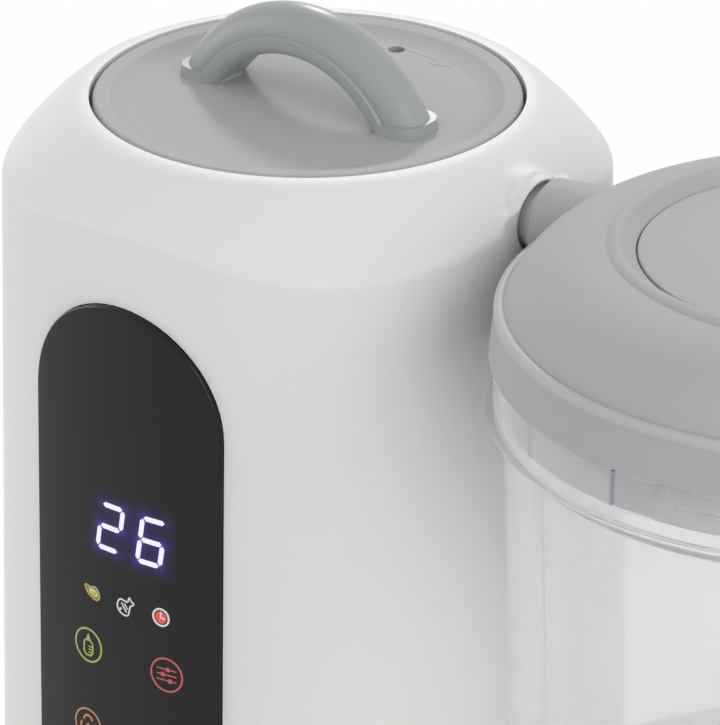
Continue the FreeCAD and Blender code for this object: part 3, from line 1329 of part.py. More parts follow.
def build():
    """Make every piece, base first and lids last."""
    main_housing()
    top_cover()
    bottom_cover()
    feet_and_screws()
    control_panel()
    panel_carrier()
    display_board()
    digit_display()
    touch_springs()
    chamber()
    chamber_parts()
    outlet_parts()
    power_parts()
    mains_inlet()
    motor()
    armature()
    cooling_fan()
    jaw(piece("drive_coupling", JAR), COUPLING_LOW, s.shaft_radius, True)
    tower_lid()
    lid_handle()
    lid_screws()
    lid_seal()
    jar()
    jar_collar()
    grip()
    blade_unit()
    jar_lid()
    lid_parts()


def write():
    """Check every object of the document, then write one file for each piece."""
    DOC.recompute()
    failed = [item.Label for item in DOC.Objects if {"Invalid", "Error"} & set(item.State)]
    failed += [item.Label for item in PIECES if item.Shape.isNull() or not item.Shape.isValid()]
    if failed:
        raise RuntimeError("pieces that failed: " + ", ".join(failed))
    os.makedirs("parts", exist_ok=True)
    for item in PIECES:
        item.Shape.exportStep(f"parts/{item.Label}.step")
        print(item.Label, len(item.Shape.Solids), round(item.Shape.Volume, 1))


build()
write()
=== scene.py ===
"""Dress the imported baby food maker: finishes, thin forms, panel marks, studio and camera."""

import logging
import math
from dataclasses import dataclass, field, replace
from enum import Enum
from typing import Any, Callable, ClassVar, Iterable, Optional, Sequence

import bmesh
import bpy
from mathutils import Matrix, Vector
from mathutils.bvhtree import BVHTree


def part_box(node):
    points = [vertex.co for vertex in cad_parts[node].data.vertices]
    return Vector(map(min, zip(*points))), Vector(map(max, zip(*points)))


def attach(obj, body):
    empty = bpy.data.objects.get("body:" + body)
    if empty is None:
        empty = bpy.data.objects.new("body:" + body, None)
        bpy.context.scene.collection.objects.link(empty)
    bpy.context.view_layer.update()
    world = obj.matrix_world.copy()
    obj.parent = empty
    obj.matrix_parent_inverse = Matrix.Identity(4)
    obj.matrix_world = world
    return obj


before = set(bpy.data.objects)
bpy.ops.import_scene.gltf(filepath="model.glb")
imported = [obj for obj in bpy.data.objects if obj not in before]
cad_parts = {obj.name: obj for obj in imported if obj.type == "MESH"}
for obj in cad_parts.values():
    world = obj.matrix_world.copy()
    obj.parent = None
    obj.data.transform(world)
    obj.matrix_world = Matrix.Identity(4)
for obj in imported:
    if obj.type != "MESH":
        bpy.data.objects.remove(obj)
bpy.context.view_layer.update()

LOG = logging.getLogger("baby_food_maker")
# A millimetre in metres
MM = 0.001
# Metres well outside the part, where lines towards its skin start
FAR = 0.3
# Sockets of a mix node that take its two colours, and the one that gives the result
MIX_FIRST, MIX_SECOND, MIX_RESULT = 6, 7, 2
# Straight steps round a disc, and along an arc
DISC_STEPS, ARC_STEPS = 40, 24
# Share of an edge cut off beside each of its corners
CORNER_CUT = 0.25

Mesh = bmesh.types.BMesh
Tree = bpy.types.NodeTree
Triple = tuple[float, float, float]
Point = tuple[float, float]
Span = tuple[Point, Point]
Loop = list[Point]
Grid = Sequence[Sequence[Vector]]
Placer = Callable[[float, float, float], Vector]


def middle_of(node: str) -> float:
    """Find the middle of a CAD node, across the part in millimetres."""
    low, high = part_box(node)
    return (low[0] + high[0]) / 2 / MM


TOWER_MIDDLE = middle_of("tower_lid")
JAR_MIDDLE = middle_of("jar_collar")


class Body(Enum):
    """Bodies that new pieces ride on."""

    BASE = "base"
    TOWER_LID = "tower_lid"
    JAR = "jar"
    JAR_LID = "jar_lid"


class Digit(Enum):
    """Lit segments of a shown number, lettered clockwise from the top with g in the middle."""

    TWO = "abged"
    SIX = "afgedc"


def linear(hex_colour: str) -> tuple[float, float, float, float]:
    """Turn an sRGB hex colour to linear.

    Args:
        hex_colour: Colour as six hex digits.

    Returns:
        Linear red, green and blue, with full alpha.
    """
    parts = [int(hex_colour[start:start + 2], 16) / 255 for start in (0, 2, 4)]
    red, green, blue = [p / 12.92 if p <= 0.04045 else ((p + 0.055) / 1.055) ** 2.4 for p in parts]
    return red, green, blue, 1.0


def eased(share: float) -> float:
    """Ease a share in and out, held between 0 and 1."""
    share = min(max(share, 0.0), 1.0)
    return share * share * (3 - 2 * share)


def neighbours(items: list[Any]) -> Iterable[tuple[Any, Any]]:
    """Pair each item with the next one, and the last with the first."""
    return zip(items, items[1:] + items[:1])


def bare_tree(owner: Any) -> Tree:
    """Give a material or a world an empty node tree."""
    owner.use_nodes = True
    owner.node_tree.nodes.clear()
    return owner.node_tree


def add_node(tree: Tree, kind: str, links: Optional[dict[Any, Any]] = None,
             **settings: Any) -> bpy.types.Node:
    """Add a node with its settings and links.

    Args:
        tree: Node tree that takes the node.
        kind: Name of the node type.
        links: Input name or number to the output socket that feeds it.
        **settings: Properties of the node, or input values with underscores for spaces.

    Returns:
        The new node.
    """
    node = tree.nodes.new(kind)
    for name, value in settings.items():
        if hasattr(node, name):
            setattr(node, name, value)
        else:
            node.inputs[name.replace("_", " ")].default_value = value
    for name, socket in (links or {}).items():
        tree.links.new(socket, node.inputs[name])
    return node


def seen_directly(tree: Tree) -> bpy.types.NodeSocket:
    """Tell rays that show the background from rays that light the object.

    Args:
        tree: Node tree that takes the nodes.

    Returns:
        A socket that is 1 for camera, glossy and transmission rays.
    """
    path = add_node(tree, "ShaderNodeLightPath")
    seen = path.outputs["Is Camera Ray"]
    for kind in ("Is Glossy Ray", "Is Transmission Ray"):
        either = add_node(tree, "ShaderNodeMath", {0: seen, 1: path.outputs[kind]}, operation="MAXIMUM")
        seen = either.outputs[0]
    return seen


@dataclass(frozen=True)
class Finish:
    """A surface: what it is made of, how it was made, and what that gives the eye.

    Colour drifts to its shade over wide patches, and a fine grain varies the gloss and raises the surface.
    Real moulded grain is about 0.1 mm, so grain_mm is drawn coarser than life to show at all.

    Attributes:
        spread: How far the grain takes the roughness up and down.
        specular: Strength of the highlight, where 0.5 is what the index gives.
        glow_layer: Colour layer of the mesh that says what light each spot gives off.
        lamps_pass: Colour of the lamps' light that goes straight through, where any does.
        stretch: Scale of grain and patches along the three axes.
    """

    least_roughness: ClassVar[float] = 0.02
    relief_strength: ClassVar[float] = 0.6
    patch_detail: ClassVar[float] = 3.0
    grain_detail: ClassVar[float] = 2.0

    name: str
    colour: str
    shade: str
    roughness: float
    spread: float = 0.06
    grain_mm: float = 0.8
    depth_mm: float = 0.01
    patch_mm: float = 40.0
    metallic: float = 0.0
    ior: float = 1.5
    specular: float = 0.5
    transmission: float = 0.0
    glow: float = 0.0
    glow_layer: str = ""
    lamps_pass: str = ""
    stretch: Triple = (1.0, 1.0, 1.0)

    def make(self) -> bpy.types.Material:
        """Build the material.

        Returns:
            A node material for this finish.
        """
        material = bpy.data.materials.new(self.name)
        tree = bare_tree(material)
        place = add_node(tree, "ShaderNodeTexCoord")
        spun = add_node(tree, "ShaderNodeMapping", {"Vector": place.outputs["Object"]}, Scale=self.stretch)
        patch = add_node(tree, "ShaderNodeTexNoise", {"Vector": spun.outputs["Vector"]},
                         Scale=1 / (self.patch_mm * MM), Detail=self.patch_detail)
        grain = add_node(tree, "ShaderNodeTexNoise", {"Vector": spun.outputs["Vector"]},
                         Scale=1 / (self.grain_mm * MM), Detail=self.grain_detail)
        tint = add_node(tree, "ShaderNodeMix", {"Factor": patch.outputs["Fac"]}, data_type="RGBA")
        tint.inputs[MIX_FIRST].default_value = linear(self.colour)
        tint.inputs[MIX_SECOND].default_value = linear(self.shade)
        gloss = add_node(tree, "ShaderNodeMapRange", {"Value": grain.outputs["Fac"]},
                         To_Min=max(self.roughness - self.spread, self.least_roughness),
                         To_Max=self.roughness + self.spread)
        relief = add_node(tree, "ShaderNodeBump", {"Height": grain.outputs["Fac"]},
                          Strength=self.relief_strength, Distance=self.depth_mm * MM)
        shader = add_node(tree, "ShaderNodeBsdfPrincipled",
                          {"Base Color": tint.outputs[MIX_RESULT], "Roughness": gloss.outputs["Result"],
                           "Normal": relief.outputs["Normal"]},
                          Metallic=self.metallic, IOR=self.ior, Specular_IOR_Level=self.specular,
                          Transmission_Weight=self.transmission)
        self.light(tree, shader)
        surface = self.let_lamps_through(tree, shader) if self.lamps_pass else shader
        add_node(tree, "ShaderNodeOutputMaterial", {"Surface": surface.outputs[0]})
        return material

    def light(self, tree: Tree, shader: bpy.types.Node) -> None:
        """Make the surface shine by itself, evenly or as a layer of the mesh says.

        Args:
            tree: Node tree of the material.
            shader: Its main shader.
        """
        if self.glow:
            shader.inputs["Emission Color"].default_value = linear(self.colour)
            shader.inputs["Emission Strength"].default_value = self.glow
        if self.glow_layer:
            layer = add_node(tree, "ShaderNodeAttribute", attribute_name=self.glow_layer)
            tree.links.new(layer.outputs["Color"], shader.inputs["Emission Color"])
            shader.inputs["Emission Strength"].default_value = 1.0

    def let_lamps_through(self, tree: Tree, shader: bpy.types.Node) -> bpy.types.Node:
        """Let lamps shine through clear walls, so that what stands behind them is lit.

        Args:
            tree: Node tree of the material.
            shader: Its main shader.

        Returns:
            A shader that is clear to lamps and otherwise the main one.
        """
        path = add_node(tree, "ShaderNodeLightPath")
        clear = add_node(tree, "ShaderNodeBsdfTransparent", Color=linear(self.lamps_pass))
        return add_node(tree, "ShaderNodeMixShader",
                        {0: path.outputs["Is Shadow Ray"], 1: shader.outputs[0], 2: clear.outputs[0]})


# ABS moulded in a lightly blasted mould: a soft, wide highlight and a very fine tooth
WHITE_ABS = Finish("moulded_white_abs", "e8e8e6", "e5e5e2", 0.5, specular=0.18)
# ABS moulded in a polished mould: clear highlights run along the grip
GREY_GLOSS_ABS = Finish("polished_grey_abs", "a3a7a6", "9fa3a2", 0.33, spread=0.04, depth_mm=0.002,
                        specular=0.24)
# Polypropylene moulded in a matt mould: even grey with a broad, weak highlight
GREY_PP = Finish("moulded_grey_polypropylene", "b3b5b5", "b0b2b2", 0.65, depth_mm=0.008, specular=0.15)
# The same polypropylene, polished, and painted lighter along a rounded edge as a highlight line
PAINTED_HIGHLIGHT_GREY_PP = Finish("grey_polypropylene_painted_highlight", "bbbdbd", "b8baba", 0.5, depth_mm=0.004, specular=0.18)
# The same polypropylene inside the lid, darkened with painted shade where less light comes
SHADED_GREY_PP = Finish("grey_polypropylene_painted_shade", "767878", "727474", 0.6, depth_mm=0.008,
                      specular=0.15)
# Smoked acrylic, moulded and polished: near black with a clean, weak reflection
SMOKED_ACRYLIC = Finish("polished_smoked_acrylic", "0f0f10", "121213", 0.12, spread=0.03, depth_mm=0.001,
                        specular=0.28)
# The same acrylic where the display shines through it: a violet haze round the lit segments
LIT_ACRYLIC = replace(SMOKED_ACRYLIC, name="lit_smoked_acrylic", glow_layer="haze")
# Copolyester, moulded clear: thin, very slightly hazy walls that show what is behind, with brighter edges
CLEAR_COPOLYESTER = Finish("moulded_clear_copolyester", "f9f9fa", "f7f7f9", 0.04, spread=0.015,
                           depth_mm=0.001, patch_mm=60.0, ior=1.4, transmission=0.7, lamps_pass="fdfdfd")
# The same copolyester in its thick lugs: clearer than the wall, with no haze
LUG_COPOLYESTER = Finish("moulded_clear_copolyester_lug", "f2f2f4", "f0f0f2", 0.03, spread=0.01,
                         depth_mm=0.001, patch_mm=60.0, ior=1.3, transmission=0.98, lamps_pass="fdfdfd")
# The same copolyester along the edges of its lugs, painted as a thin violet line for the light that gathers
# in the edge
PAINTED_EDGE_COPOLYESTER = Finish("clear_copolyester_painted_edge_line", "b4b1c6", "afacc1", 0.1, depth_mm=0.001,
                          patch_mm=60.0, ior=1.3, transmission=0.4, lamps_pass="fdfdfd")
# The same copolyester along a lower edge that faces the light, painted as a thin white highlight line
PAINTED_HIGHLIGHT_COPOLYESTER = Finish("clear_copolyester_painted_highlight", "f2f2f2", "efefef", 0.3,
                            depth_mm=0.001, patch_mm=60.0, ior=1.4, transmission=0.2, lamps_pass="fdfdfd")
# Silicone, moulded and left matt: soft edges with hardly any highlight
GREY_SILICONE = Finish("moulded_grey_silicone", "a6a8a8", "a1a3a3", 0.5, grain_mm=0.5)
# The same silicone, painted lighter at the steam outlet as light on its lips
PAINTED_LIGHT_SILICONE = replace(GREY_SILICONE, name="grey_silicone_painted_light", colour="bcbebe", shade="b8baba")
# Rubber, moulded black: dull, with a visible tooth
BLACK_RUBBER = Finish("moulded_black_rubber", "1b1b1b", "222222", 0.7, grain_mm=0.6, depth_mm=0.03)
# Glass-filled nylon, moulded black: a slight tooth and a greyish highlight
BLACK_NYLON = Finish("moulded_black_nylon", "1d1d1e", "242425", 0.5, grain_mm=0.6, depth_mm=0.02)
# Stainless steel, brushed round: fine lines that stretch the highlight
BRUSHED_STAINLESS = Finish("brushed_stainless_steel", "c6c6c4", "b4b4b2", 0.28, grain_mm=0.5,
                           depth_mm=0.004, metallic=1.0, stretch=(1.0, 1.0, 14.0))
# Aluminium, die cast and left raw: dull, pale and slightly pitted
CAST_ALUMINIUM = Finish("cast_aluminium", "b9babc", "a9aaac", 0.45, grain_mm=1.0, depth_mm=0.03,
                        metallic=1.0)
# Electrical steel, punched and stacked: dark, with the lines of its layers
DARK_STEEL = Finish("laminated_steel", "5a5b5e", "4a4b4e", 0.5, metallic=1.0, stretch=(1.0, 1.0, 20.0))
# Copper alloy, turned: warm, with fine rings
TURNED_COPPER = Finish("turned_copper", "b87a4c", "a86c42", 0.3, metallic=1.0, stretch=(1.0, 1.0, 12.0))
# Glass-epoxy board, coated with solder mask: glossy green, mottled by the copper below
SOLDER_MASK = Finish("coated_green_solder_mask", "1f5a34", "1a4f2e", 0.35, patch_mm=9.0)
# Epoxy segments, moulded over lamps: nearly white with a breath of violet
LIT_EPOXY = Finish("moulded_lit_epoxy", "efe8ff", "e9e1ff", 0.4, glow=0.3)


def ink(tint: str, colour: str, shade: str, patch_mm: float = 3.0) -> Finish:
    """Mix an ink, screen printed behind the acrylic: flat and soft, lifted a little by the lamps behind."""
    return Finish(f"printed_{tint}_ink", colour, shade, 0.4, patch_mm=patch_mm, glow=0.15)


# The keys' inks: coloured lines on near black
GREEN_INK = ink("green", "a3ae62", "98a359")
RED_INK = ink("red", "bb5850", "b04e47")
ORANGE_INK = ink("orange", "b9805c", "ad7553")
WHITE_INK = ink("white", "dedede", "d2d2d2")
# The small row's inks: fuller colours that stand out at their size
SIGNAL_INK = ink("signal_red", "e2574c", "d84e44")
OLIVE_INK = ink("olive", "7d7648", "716a40", patch_mm=2.0)
STRAW_INK = ink("straw", "b9b07c", "ada470", patch_mm=2.0)
CREAM_INK = ink("cream", "dccf74", "d0c268", patch_mm=2.0)
# The same ink with no lamp on behind it: just darker or lighter than the acrylic round it
UNLIT_INK = Finish("printed_unlit_ink", "232222", "201f1f", 0.2, patch_mm=3.0, specular=0.28)

# The CAD nodes that take each finish
Outfit = dict[Finish, tuple[str, ...]]


class Dresser:
    """Gives finishes to CAD nodes and to new pieces."""

    def __init__(self) -> None:
        """Start with no material made."""
        self.made: dict[Finish, bpy.types.Material] = {}

    def dress(self, piece: bpy.types.Object, finish: Finish) -> None:
        """Put one finish all over a piece, making its material only once.

        Args:
            piece: Object to dress.
            finish: Finish that it takes.
        """
        if finish not in self.made:
            self.made[finish] = finish.make()
        piece.data.materials.clear()
        piece.data.materials.append(self.made[finish])
        LOG.info("%s in %s", piece.name, finish.name)

    def place(self, name: str, mesh: Mesh, finish: Finish, body: Body, slot: str) -> None:
        """Turn a drawn mesh into a dressed piece.

        Args:
            name: Piece name.
            mesh: The mesh, which is freed.
            finish: Finish that the piece takes.
            body: Body that it rides on.
            slot: Name of a material slot; not used.
        """
        bmesh.ops.recalc_face_normals(mesh, faces=mesh.faces)
        data = bpy.data.meshes.new(name)
        mesh.to_mesh(data)
        mesh.free()
        piece = bpy.data.objects.new(name, data)
        bpy.context.scene.collection.objects.link(piece)
        self.dress(piece, finish)
        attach(piece, body.value)


class Skin:
    """The skin of a CAD node, asked where a line meets it."""

    def __init__(self, node: str) -> None:
        """Read the node's faces where they stand.

        Args:
            node: Name of the CAD node.
        """
        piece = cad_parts[node]
        points = [piece.matrix_world @ vert.co for vert in piece.data.vertices]
        self.tree = BVHTree.FromPolygons(points, [tuple(face.vertices) for face in piece.data.polygons])

    def meet(self, start: Vector, way: Vector, lift: float) -> Vector:
        """Find where a line first meets the skin.

        Args:
            start: Start of the line in metres.
            way: Its direction, of length one.
            lift: Millimetres to stay in front of the skin.

        Returns:
            The point in metres.
        """
        return self.tree.ray_cast(start, way)[0] - way * lift * MM


def disc(x: float, z: float, radius: float, squeeze: float = 1.0, tilt: float = 0.0) -> Loop:
    """Outline a disc or an oval.

    Args:
        x: Middle across.
        z: Middle up.
        radius: Half width.
        squeeze: Height over width.
        tilt: Turn in degrees, anticlockwise.

    Returns:
        The outline.
    """
    spin = math.radians(tilt)
    loop = []
    for step in range(DISC_STEPS):
        across = radius * math.cos(math.tau * step / DISC_STEPS)
        up = radius * squeeze * math.sin(math.tau * step / DISC_STEPS)
        loop.append((x + across * math.cos(spin) - up * math.sin(spin),
                     z + across * math.sin(spin) + up * math.cos(spin)))
    return loop


def arc_band(x: float, z: float, radius: float, width: float, start: float, sweep: float) -> Loop:
    """Outline a band that follows an arc.

    Args:
        x: Middle across.
        z: Middle up.
        radius: Outer radius.
        width: Width of the band.
        start: First angle in degrees.
        sweep: Angle covered in degrees.

    Returns:
        The outline.
    """
    turns = [math.radians(start + sweep * step / ARC_STEPS) for step in range(ARC_STEPS + 1)]
    walk = [(radius, turn) for turn in turns] + [(radius - width, turn) for turn in reversed(turns)]
    return [(x + reach * math.cos(turn), z + reach * math.sin(turn)) for reach, turn in walk]


def ring(x: float, z: float, radius: float, width: float) -> list[Loop]:
    """Outline a whole ring as two half bands."""
    return [arc_band(x, z, radius, width, start, 180) for start in (0, 180)]


def rounded(loop: Loop, rounds: int = 2) -> Loop:
    """Cut a closed outline's corners until it looks smooth.

    Args:
        loop: Outline with sharp corners.
        rounds: Times that every corner is cut.

    Returns:
        The smoother outline.
    """
    for _ in range(rounds):
        cut = []
        for (x0, z0), (x1, z1) in neighbours(loop):
            cut += [(x0 + (x1 - x0) * share, z0 + (z1 - z0) * share)
                    for share in (CORNER_CUT, 1 - CORNER_CUT)]
        loop = cut
    return loop


def bar(start: Point, end: Point, width: float) -> Loop:
    """Outline a straight stroke.

    Args:
        start: Middle of one end.
        end: Middle of the other end.
        width: Width of the stroke.

    Returns:
        The outline.
    """
    along = Vector(end) - Vector(start)
    side = Vector((-along.y, along.x)).normalized() * width / 2
    corners = ((start, 1), (start, -1), (end, -1), (end, 1))
    return [tuple(Vector(spot) + turn * side) for spot, turn in corners]


def drawn_line(path: Loop, width: float) -> list[Loop]:
    """Outline a closed drawn line as one stroke for each span, each running a little into the next."""
    return [bar(start, end, width) for start, end in neighbours(path)]


def raised(loops: Sequence[Loop], placer: Placer, lift: float, sink: float) -> Mesh:
    """Make thin closed solids from flat outlines.

    Args:
        loops: Outlines, each a simple polygon.
        placer: Gives a corner's point, at a lift in front of a CAD node's skin.
        lift: Millimetres that the solids stand proud.
        sink: Millimetres that they reach into the skin.

    Returns:
        The mesh.
    """
    mesh = bmesh.new()
    for loop in loops:
        front = [mesh.verts.new(placer(*spot, lift)) for spot in loop]
        back = [mesh.verts.new(placer(*spot, -sink)) for spot in loop]
        mesh.faces.new(front)
        mesh.faces.new(list(reversed(back)))
        for (front0, front1), (back0, back1) in zip(neighbours(front), neighbours(back)):
            mesh.faces.new((front1, front0, back0, back1))
    return mesh


def tube(sections: Grid, closed: bool) -> Mesh:
    """Skin a row of outlines as one closed solid.

    Args:
        sections: Outlines in order, each with the same number of points.
        closed: Whether the last outline joins the first, where both would be capped otherwise.

    Returns:
        The mesh.
    """
    mesh = bmesh.new()
    rings = [[mesh.verts.new(point) for point in section] for section in sections]
    for left, right in neighbours(rings) if closed else zip(rings, rings[1:]):
        for (left0, left1), (right0, right1) in zip(neighbours(left), neighbours(right)):
            mesh.faces.new((left0, left1, right1, right0)).smooth = True
    if not closed:
        mesh.faces.new(rings[0])
        mesh.faces.new(list(reversed(rings[-1])))
    return mesh


def slab(mesh: Mesh, sheets: Sequence[Grid]) -> list[list[list[bmesh.types.BMVert]]]:
    """Close two like grids of points, front and back, into one solid.

    Args:
        mesh: Mesh that takes the solid.
        sheets: Front and back, each as columns of points.

    Returns:
        The corners of both sheets, as columns.
    """
    corners = [[[mesh.verts.new(point) for point in column] for column in sheet] for sheet in sheets]
    for sheet in corners:
        for left, right in zip(sheet, sheet[1:]):
            for row in range(len(left) - 1):
                mesh.faces.new((left[row], right[row], right[row + 1], left[row + 1]))
    rims = [[column[0] for column in sheet] + sheet[-1][1:-1]
            + [column[-1] for column in reversed(sheet)] + sheet[0][-2:0:-1] for sheet in corners]
    for (front0, front1), (back0, back1) in zip(*map(neighbours, rims)):
        mesh.faces.new((front0, front1, back1, back0))
    return corners


@dataclass
class SubAssembly:
    """CAD nodes that belong together, with the finish that each takes."""

    dresser: Dresser
    finishes: ClassVar[Outfit] = {}

    def build(self) -> None:
        """Dress the nodes."""
        for finish, names in self.finishes.items():
            for name in names:
                self.dresser.dress(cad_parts[name], finish)


@dataclass
class Tower(SubAssembly):
    """Housing, feet and inlet, with the steam chamber and boards inside.

    A white pad fills the wall round the steam outlet. Its sizes are in millimetres: distances from the
    tower's middle towards the jar, and radii about the outlet's axis. A sine says how high round that axis.

    Attributes:
        wall_reach: Distance of the wall at wall_level, midway along it.
        wall_bow, wall_lean: How fast the wall falls back to the sides, and upwards.
        wall_rise: Sine below which the pad ends on the wall.
        pad_lip, lip_bend: Width of the bore's softened rim, and the share of it where its bend lies.
        pad_top, pad_foot: Outer radius above the outlet, and beside and below it.
        flank_top, flank_span: Sine where the outer radius starts to grow, and its fall till that ends.
        pad_dish: Depth of the face at the bore.
        pad_sink: Depth of the outer edge in the skin.
        pad_hold: Share of the width that stays flush beside and below the outlet.
    """

    finishes: ClassVar[Outfit] = {
        WHITE_ABS: ("main_housing", "top_cover", "bottom_cover"),
        BLACK_RUBBER: ("rubber_feet",),
        BLACK_NYLON: ("mains_inlet", "thermostat", "board_parts"),
        # The outlet seal takes silicone painted lighter, as light on its lips
        PAINTED_LIGHT_SILICONE: ("outlet_seal",),
        GREY_SILICONE: ("chamber_seal",),
        BRUSHED_STAINLESS: ("cover_screws", "board_screws", "chamber", "heating_element", "steam_sleeve"),
        CAST_ALUMINIUM: ("heater_plate",),
        SOLDER_MASK: ("power_board",),
    }

    wall_reach: float = 62.42
    wall_bow: float = 0.005
    wall_lean: float = 0.025
    wall_level: float = 178.5
    wall_rise: float = -0.5
    outlet_level: float = 192.1
    pad_back: float = 50.0
    pad_bore: float = 7.75
    pad_lip: float = 0.5
    lip_bend: float = 0.3
    pad_top: float = 9.9
    pad_foot: float = 15.0
    flank_top: float = 0.6
    flank_span: float = 0.35
    pad_dish: float = 0.6
    pad_sink: float = 0.12
    pad_hold: float = 0.68
    pad_columns: int = 120
    pad_rows: int = 28

    def wall(self, y: float, up: float) -> float:
        """Find the distance of the bowed wall, beside the outlet's axis and above it."""
        climb = self.outlet_level + up - self.wall_level
        return self.wall_reach - self.wall_bow * y * y - self.wall_lean * climb

    def pad_section(self, turn: float, skin: Skin) -> list[Vector]:
        """Outline the outlet's pad across its ring.

        Below the outlet it runs out flush with the wall. Above, it falls in a soft bend to the shoulder.

        Args:
            turn: Place round the outlet in radians, from level at the back.
            skin: Skin of the shoulder.

        Returns:
            The outline.
        """
        across, rise = math.cos(turn), math.sin(turn)
        flank = eased((self.flank_top - rise) / self.flank_span)
        radius = self.pad_top + (self.pad_foot - self.pad_top) * flank
        edge = self.wall(radius * across, radius * rise)
        if rise > self.wall_rise:
            spot = Vector((0, radius * across, self.outlet_level + radius * rise)) * MM
            edge = skin.meet(spot, Vector((-1, 0, 0)), 0).x / MM - TOWER_MIDDLE
        mouth = self.wall(self.pad_bore * across, self.pad_bore * rise) - self.pad_dish
        bend = self.lip_bend * self.pad_lip
        outline = [(self.pad_bore, mouth - self.pad_lip), (self.pad_bore + bend, mouth - bend)]
        start = self.pad_bore + self.pad_lip
        hold = self.pad_hold * flank
        for row in range(self.pad_rows + 1):
            share = row / self.pad_rows
            reach = start + (radius - start) * share
            face = self.wall(reach * across, reach * rise) - self.pad_dish * (1 - share) ** 2
            fall = eased((share - hold) / (1 - hold))
            outline.append((reach, face + (edge - self.pad_sink - face) * fall))
        outline += [(radius, self.pad_back), (self.pad_bore, self.pad_back)]
        return [Vector((TOWER_MIDDLE + x, reach * across, self.outlet_level + reach * rise)) * MM
                for reach, x in outline]

    def build(self) -> None:
        """Dress the tower and set the pad round its steam outlet."""
        super().build()
        skin = Skin("top_cover")
        sections = [self.pad_section(math.tau * column / self.pad_columns, skin)
                    for column in range(self.pad_columns)]
        self.dresser.place("outlet_pad", tube(sections, closed=True), WHITE_ABS, Body.BASE, "white")


@dataclass
class TowerLid(SubAssembly):
    """Dished lid with its polished grip.

    The turning sign, an arrow, is in millimetres from the lid's middle and in degrees.
    """

    finishes: ClassVar[Outfit] = {
        GREY_PP: ("tower_lid",),
        GREY_GLOSS_ABS: ("lid_handle",),
        GREY_SILICONE: ("lid_seal",),
        BRUSHED_STAINLESS: ("lid_screws",),
    }

    sign_radius: float = 36.2
    sign_width: float = 0.9
    sign_start: float = 89.5
    sign_sweep: float = -13.5
    tip_reach: float = 8.0
    tip_half: float = 2.6
    sign_lift: float = 0.08

    def build(self) -> None:
        """Dress the lid and raise its turning sign, an arrow beside the steam hole."""
        super().build()
        skin = Skin("tower_lid")

        def on_lid(x: float, y: float, lift: float) -> Vector:
            """Find a spot on the lid, from its middle."""
            return skin.meet(Vector(((TOWER_MIDDLE + x) * MM, y * MM, FAR)), Vector((0, 0, -1)), lift)

        shaft = arc_band(0, 0, self.sign_radius, self.sign_width, self.sign_start, self.sign_sweep)
        end = math.radians(self.sign_start + self.sign_sweep)
        tip = end + math.radians(math.copysign(self.tip_reach, self.sign_sweep))
        middle = self.sign_radius - self.sign_width / 2
        head = [((middle + out) * math.cos(turn), (middle + out) * math.sin(turn))
                for out, turn in ((self.tip_half, end), (0.0, tip), (-self.tip_half, end))]
        mesh = raised([shaft, head], on_lid, self.sign_lift, self.sign_lift)
        self.dresser.place("turning_sign", mesh, GREY_PP, Body.TOWER_LID, "grey")


@dataclass(frozen=True)
class Lug:
    """A raised patch on the jar's rim band that locks the lid.

    Its start and sweep are degrees round the jar, and its levels and other sizes are in millimetres.
    """

    name: str
    start: float
    sweep: float
    low: float
    high: float
    corner: float = 0.0
    finish: Finish = LUG_COPOLYESTER
    proud: float = 0.7
    sink: float = 0.15
    columns: int = 24
    rows: int = 4

    def edge(self, share: float, radius: float) -> float:
        """Find the lower edge's level at a share of the sweep, raised in a round corner at both ends."""
        lack = max(self.corner - min(share, 1 - share) * math.radians(self.sweep) * radius, 0.0)
        return self.low + self.corner - math.sqrt(self.corner ** 2 - lack ** 2)

    def mesh(self, placer: Placer, radius: float) -> Mesh:
        """Shape the lug as a closed solid on the wall.

        Args:
            placer: Gives the wall's point at a turn, a level and a lift.
            radius: Radius of the wall.

        Returns:
            The mesh.
        """
        sheets = []
        for lift in (self.proud, -self.sink):
            sheet = []
            for column in range(self.columns + 1):
                share = column / self.columns
                turn, low = self.start + self.sweep * share, self.edge(share, radius)
                levels = [low + (self.high - low) * row / self.rows for row in range(self.rows + 1)]
                sheet.append([placer(turn, level, lift) for level in levels])
            sheets.append(sheet)
        mesh = bmesh.new()
        slab(mesh, sheets)
        return mesh


@dataclass
class Jar(SubAssembly):
    """Clear jar with its collar, handle and blades, and the same lugs at three turns of the rim."""

    finishes: ClassVar[Outfit] = {
        CLEAR_COPOLYESTER: ("jar",),
        WHITE_ABS: ("jar_collar", "jar_handle"),
        GREY_SILICONE: ("blade_seal",),
        BLACK_NYLON: ("blade_nut", "driven_coupling"),
        BRUSHED_STAINLESS: ("blade_bush", "blade_spindle", "lower_blade", "upper_blade", "blade_cap"),
    }

    band_radius: float = 67.4
    lug_places: tuple[float, ...] = (0.0, 120.0, 240.0)
    lugs: tuple[Lug, ...] = (
        Lug("lock_lug", start=-94.5, sweep=8.4, low=173.3, high=180.5),
        # A thin strip along each lug's side, painted as a violet edge line
        Lug("lock_painted_edge", start=-94.9, sweep=0.5, low=173.1, high=180.5, finish=PAINTED_EDGE_COPOLYESTER),
        # A thin strip under each lug, painted as a white highlight line
        Lug("lock_painted_highlight", start=-94.4, sweep=8.3, low=172.95, high=173.35, finish=PAINTED_HIGHLIGHT_COPOLYESTER),
        Lug("ramp_lug", start=-84.2, sweep=22.0, low=177.0, high=180.5, corner=2.6),
    )

    def build(self) -> None:
        """Dress the jar and raise the lugs that lock its lid, three of each round the rim."""
        super().build()
        skin = Skin("jar")

        def on_wall(turn: float, level: float, lift: float) -> Vector:
            """Find a spot on the rim band."""
            out = Vector((math.cos(math.radians(turn)), math.sin(math.radians(turn)), 0))
            return skin.meet(Vector((JAR_MIDDLE * MM, 0, level * MM)) + out * FAR, -out, lift)

        for lug in self.lugs:
            for number, place in enumerate(self.lug_places, 1):
                turned = replace(lug, name=f"{lug.name}_{number}", start=lug.start + place)
                self.dresser.place(turned.name, turned.mesh(on_wall, self.band_radius), turned.finish,
                                   Body.JAR, "clear")


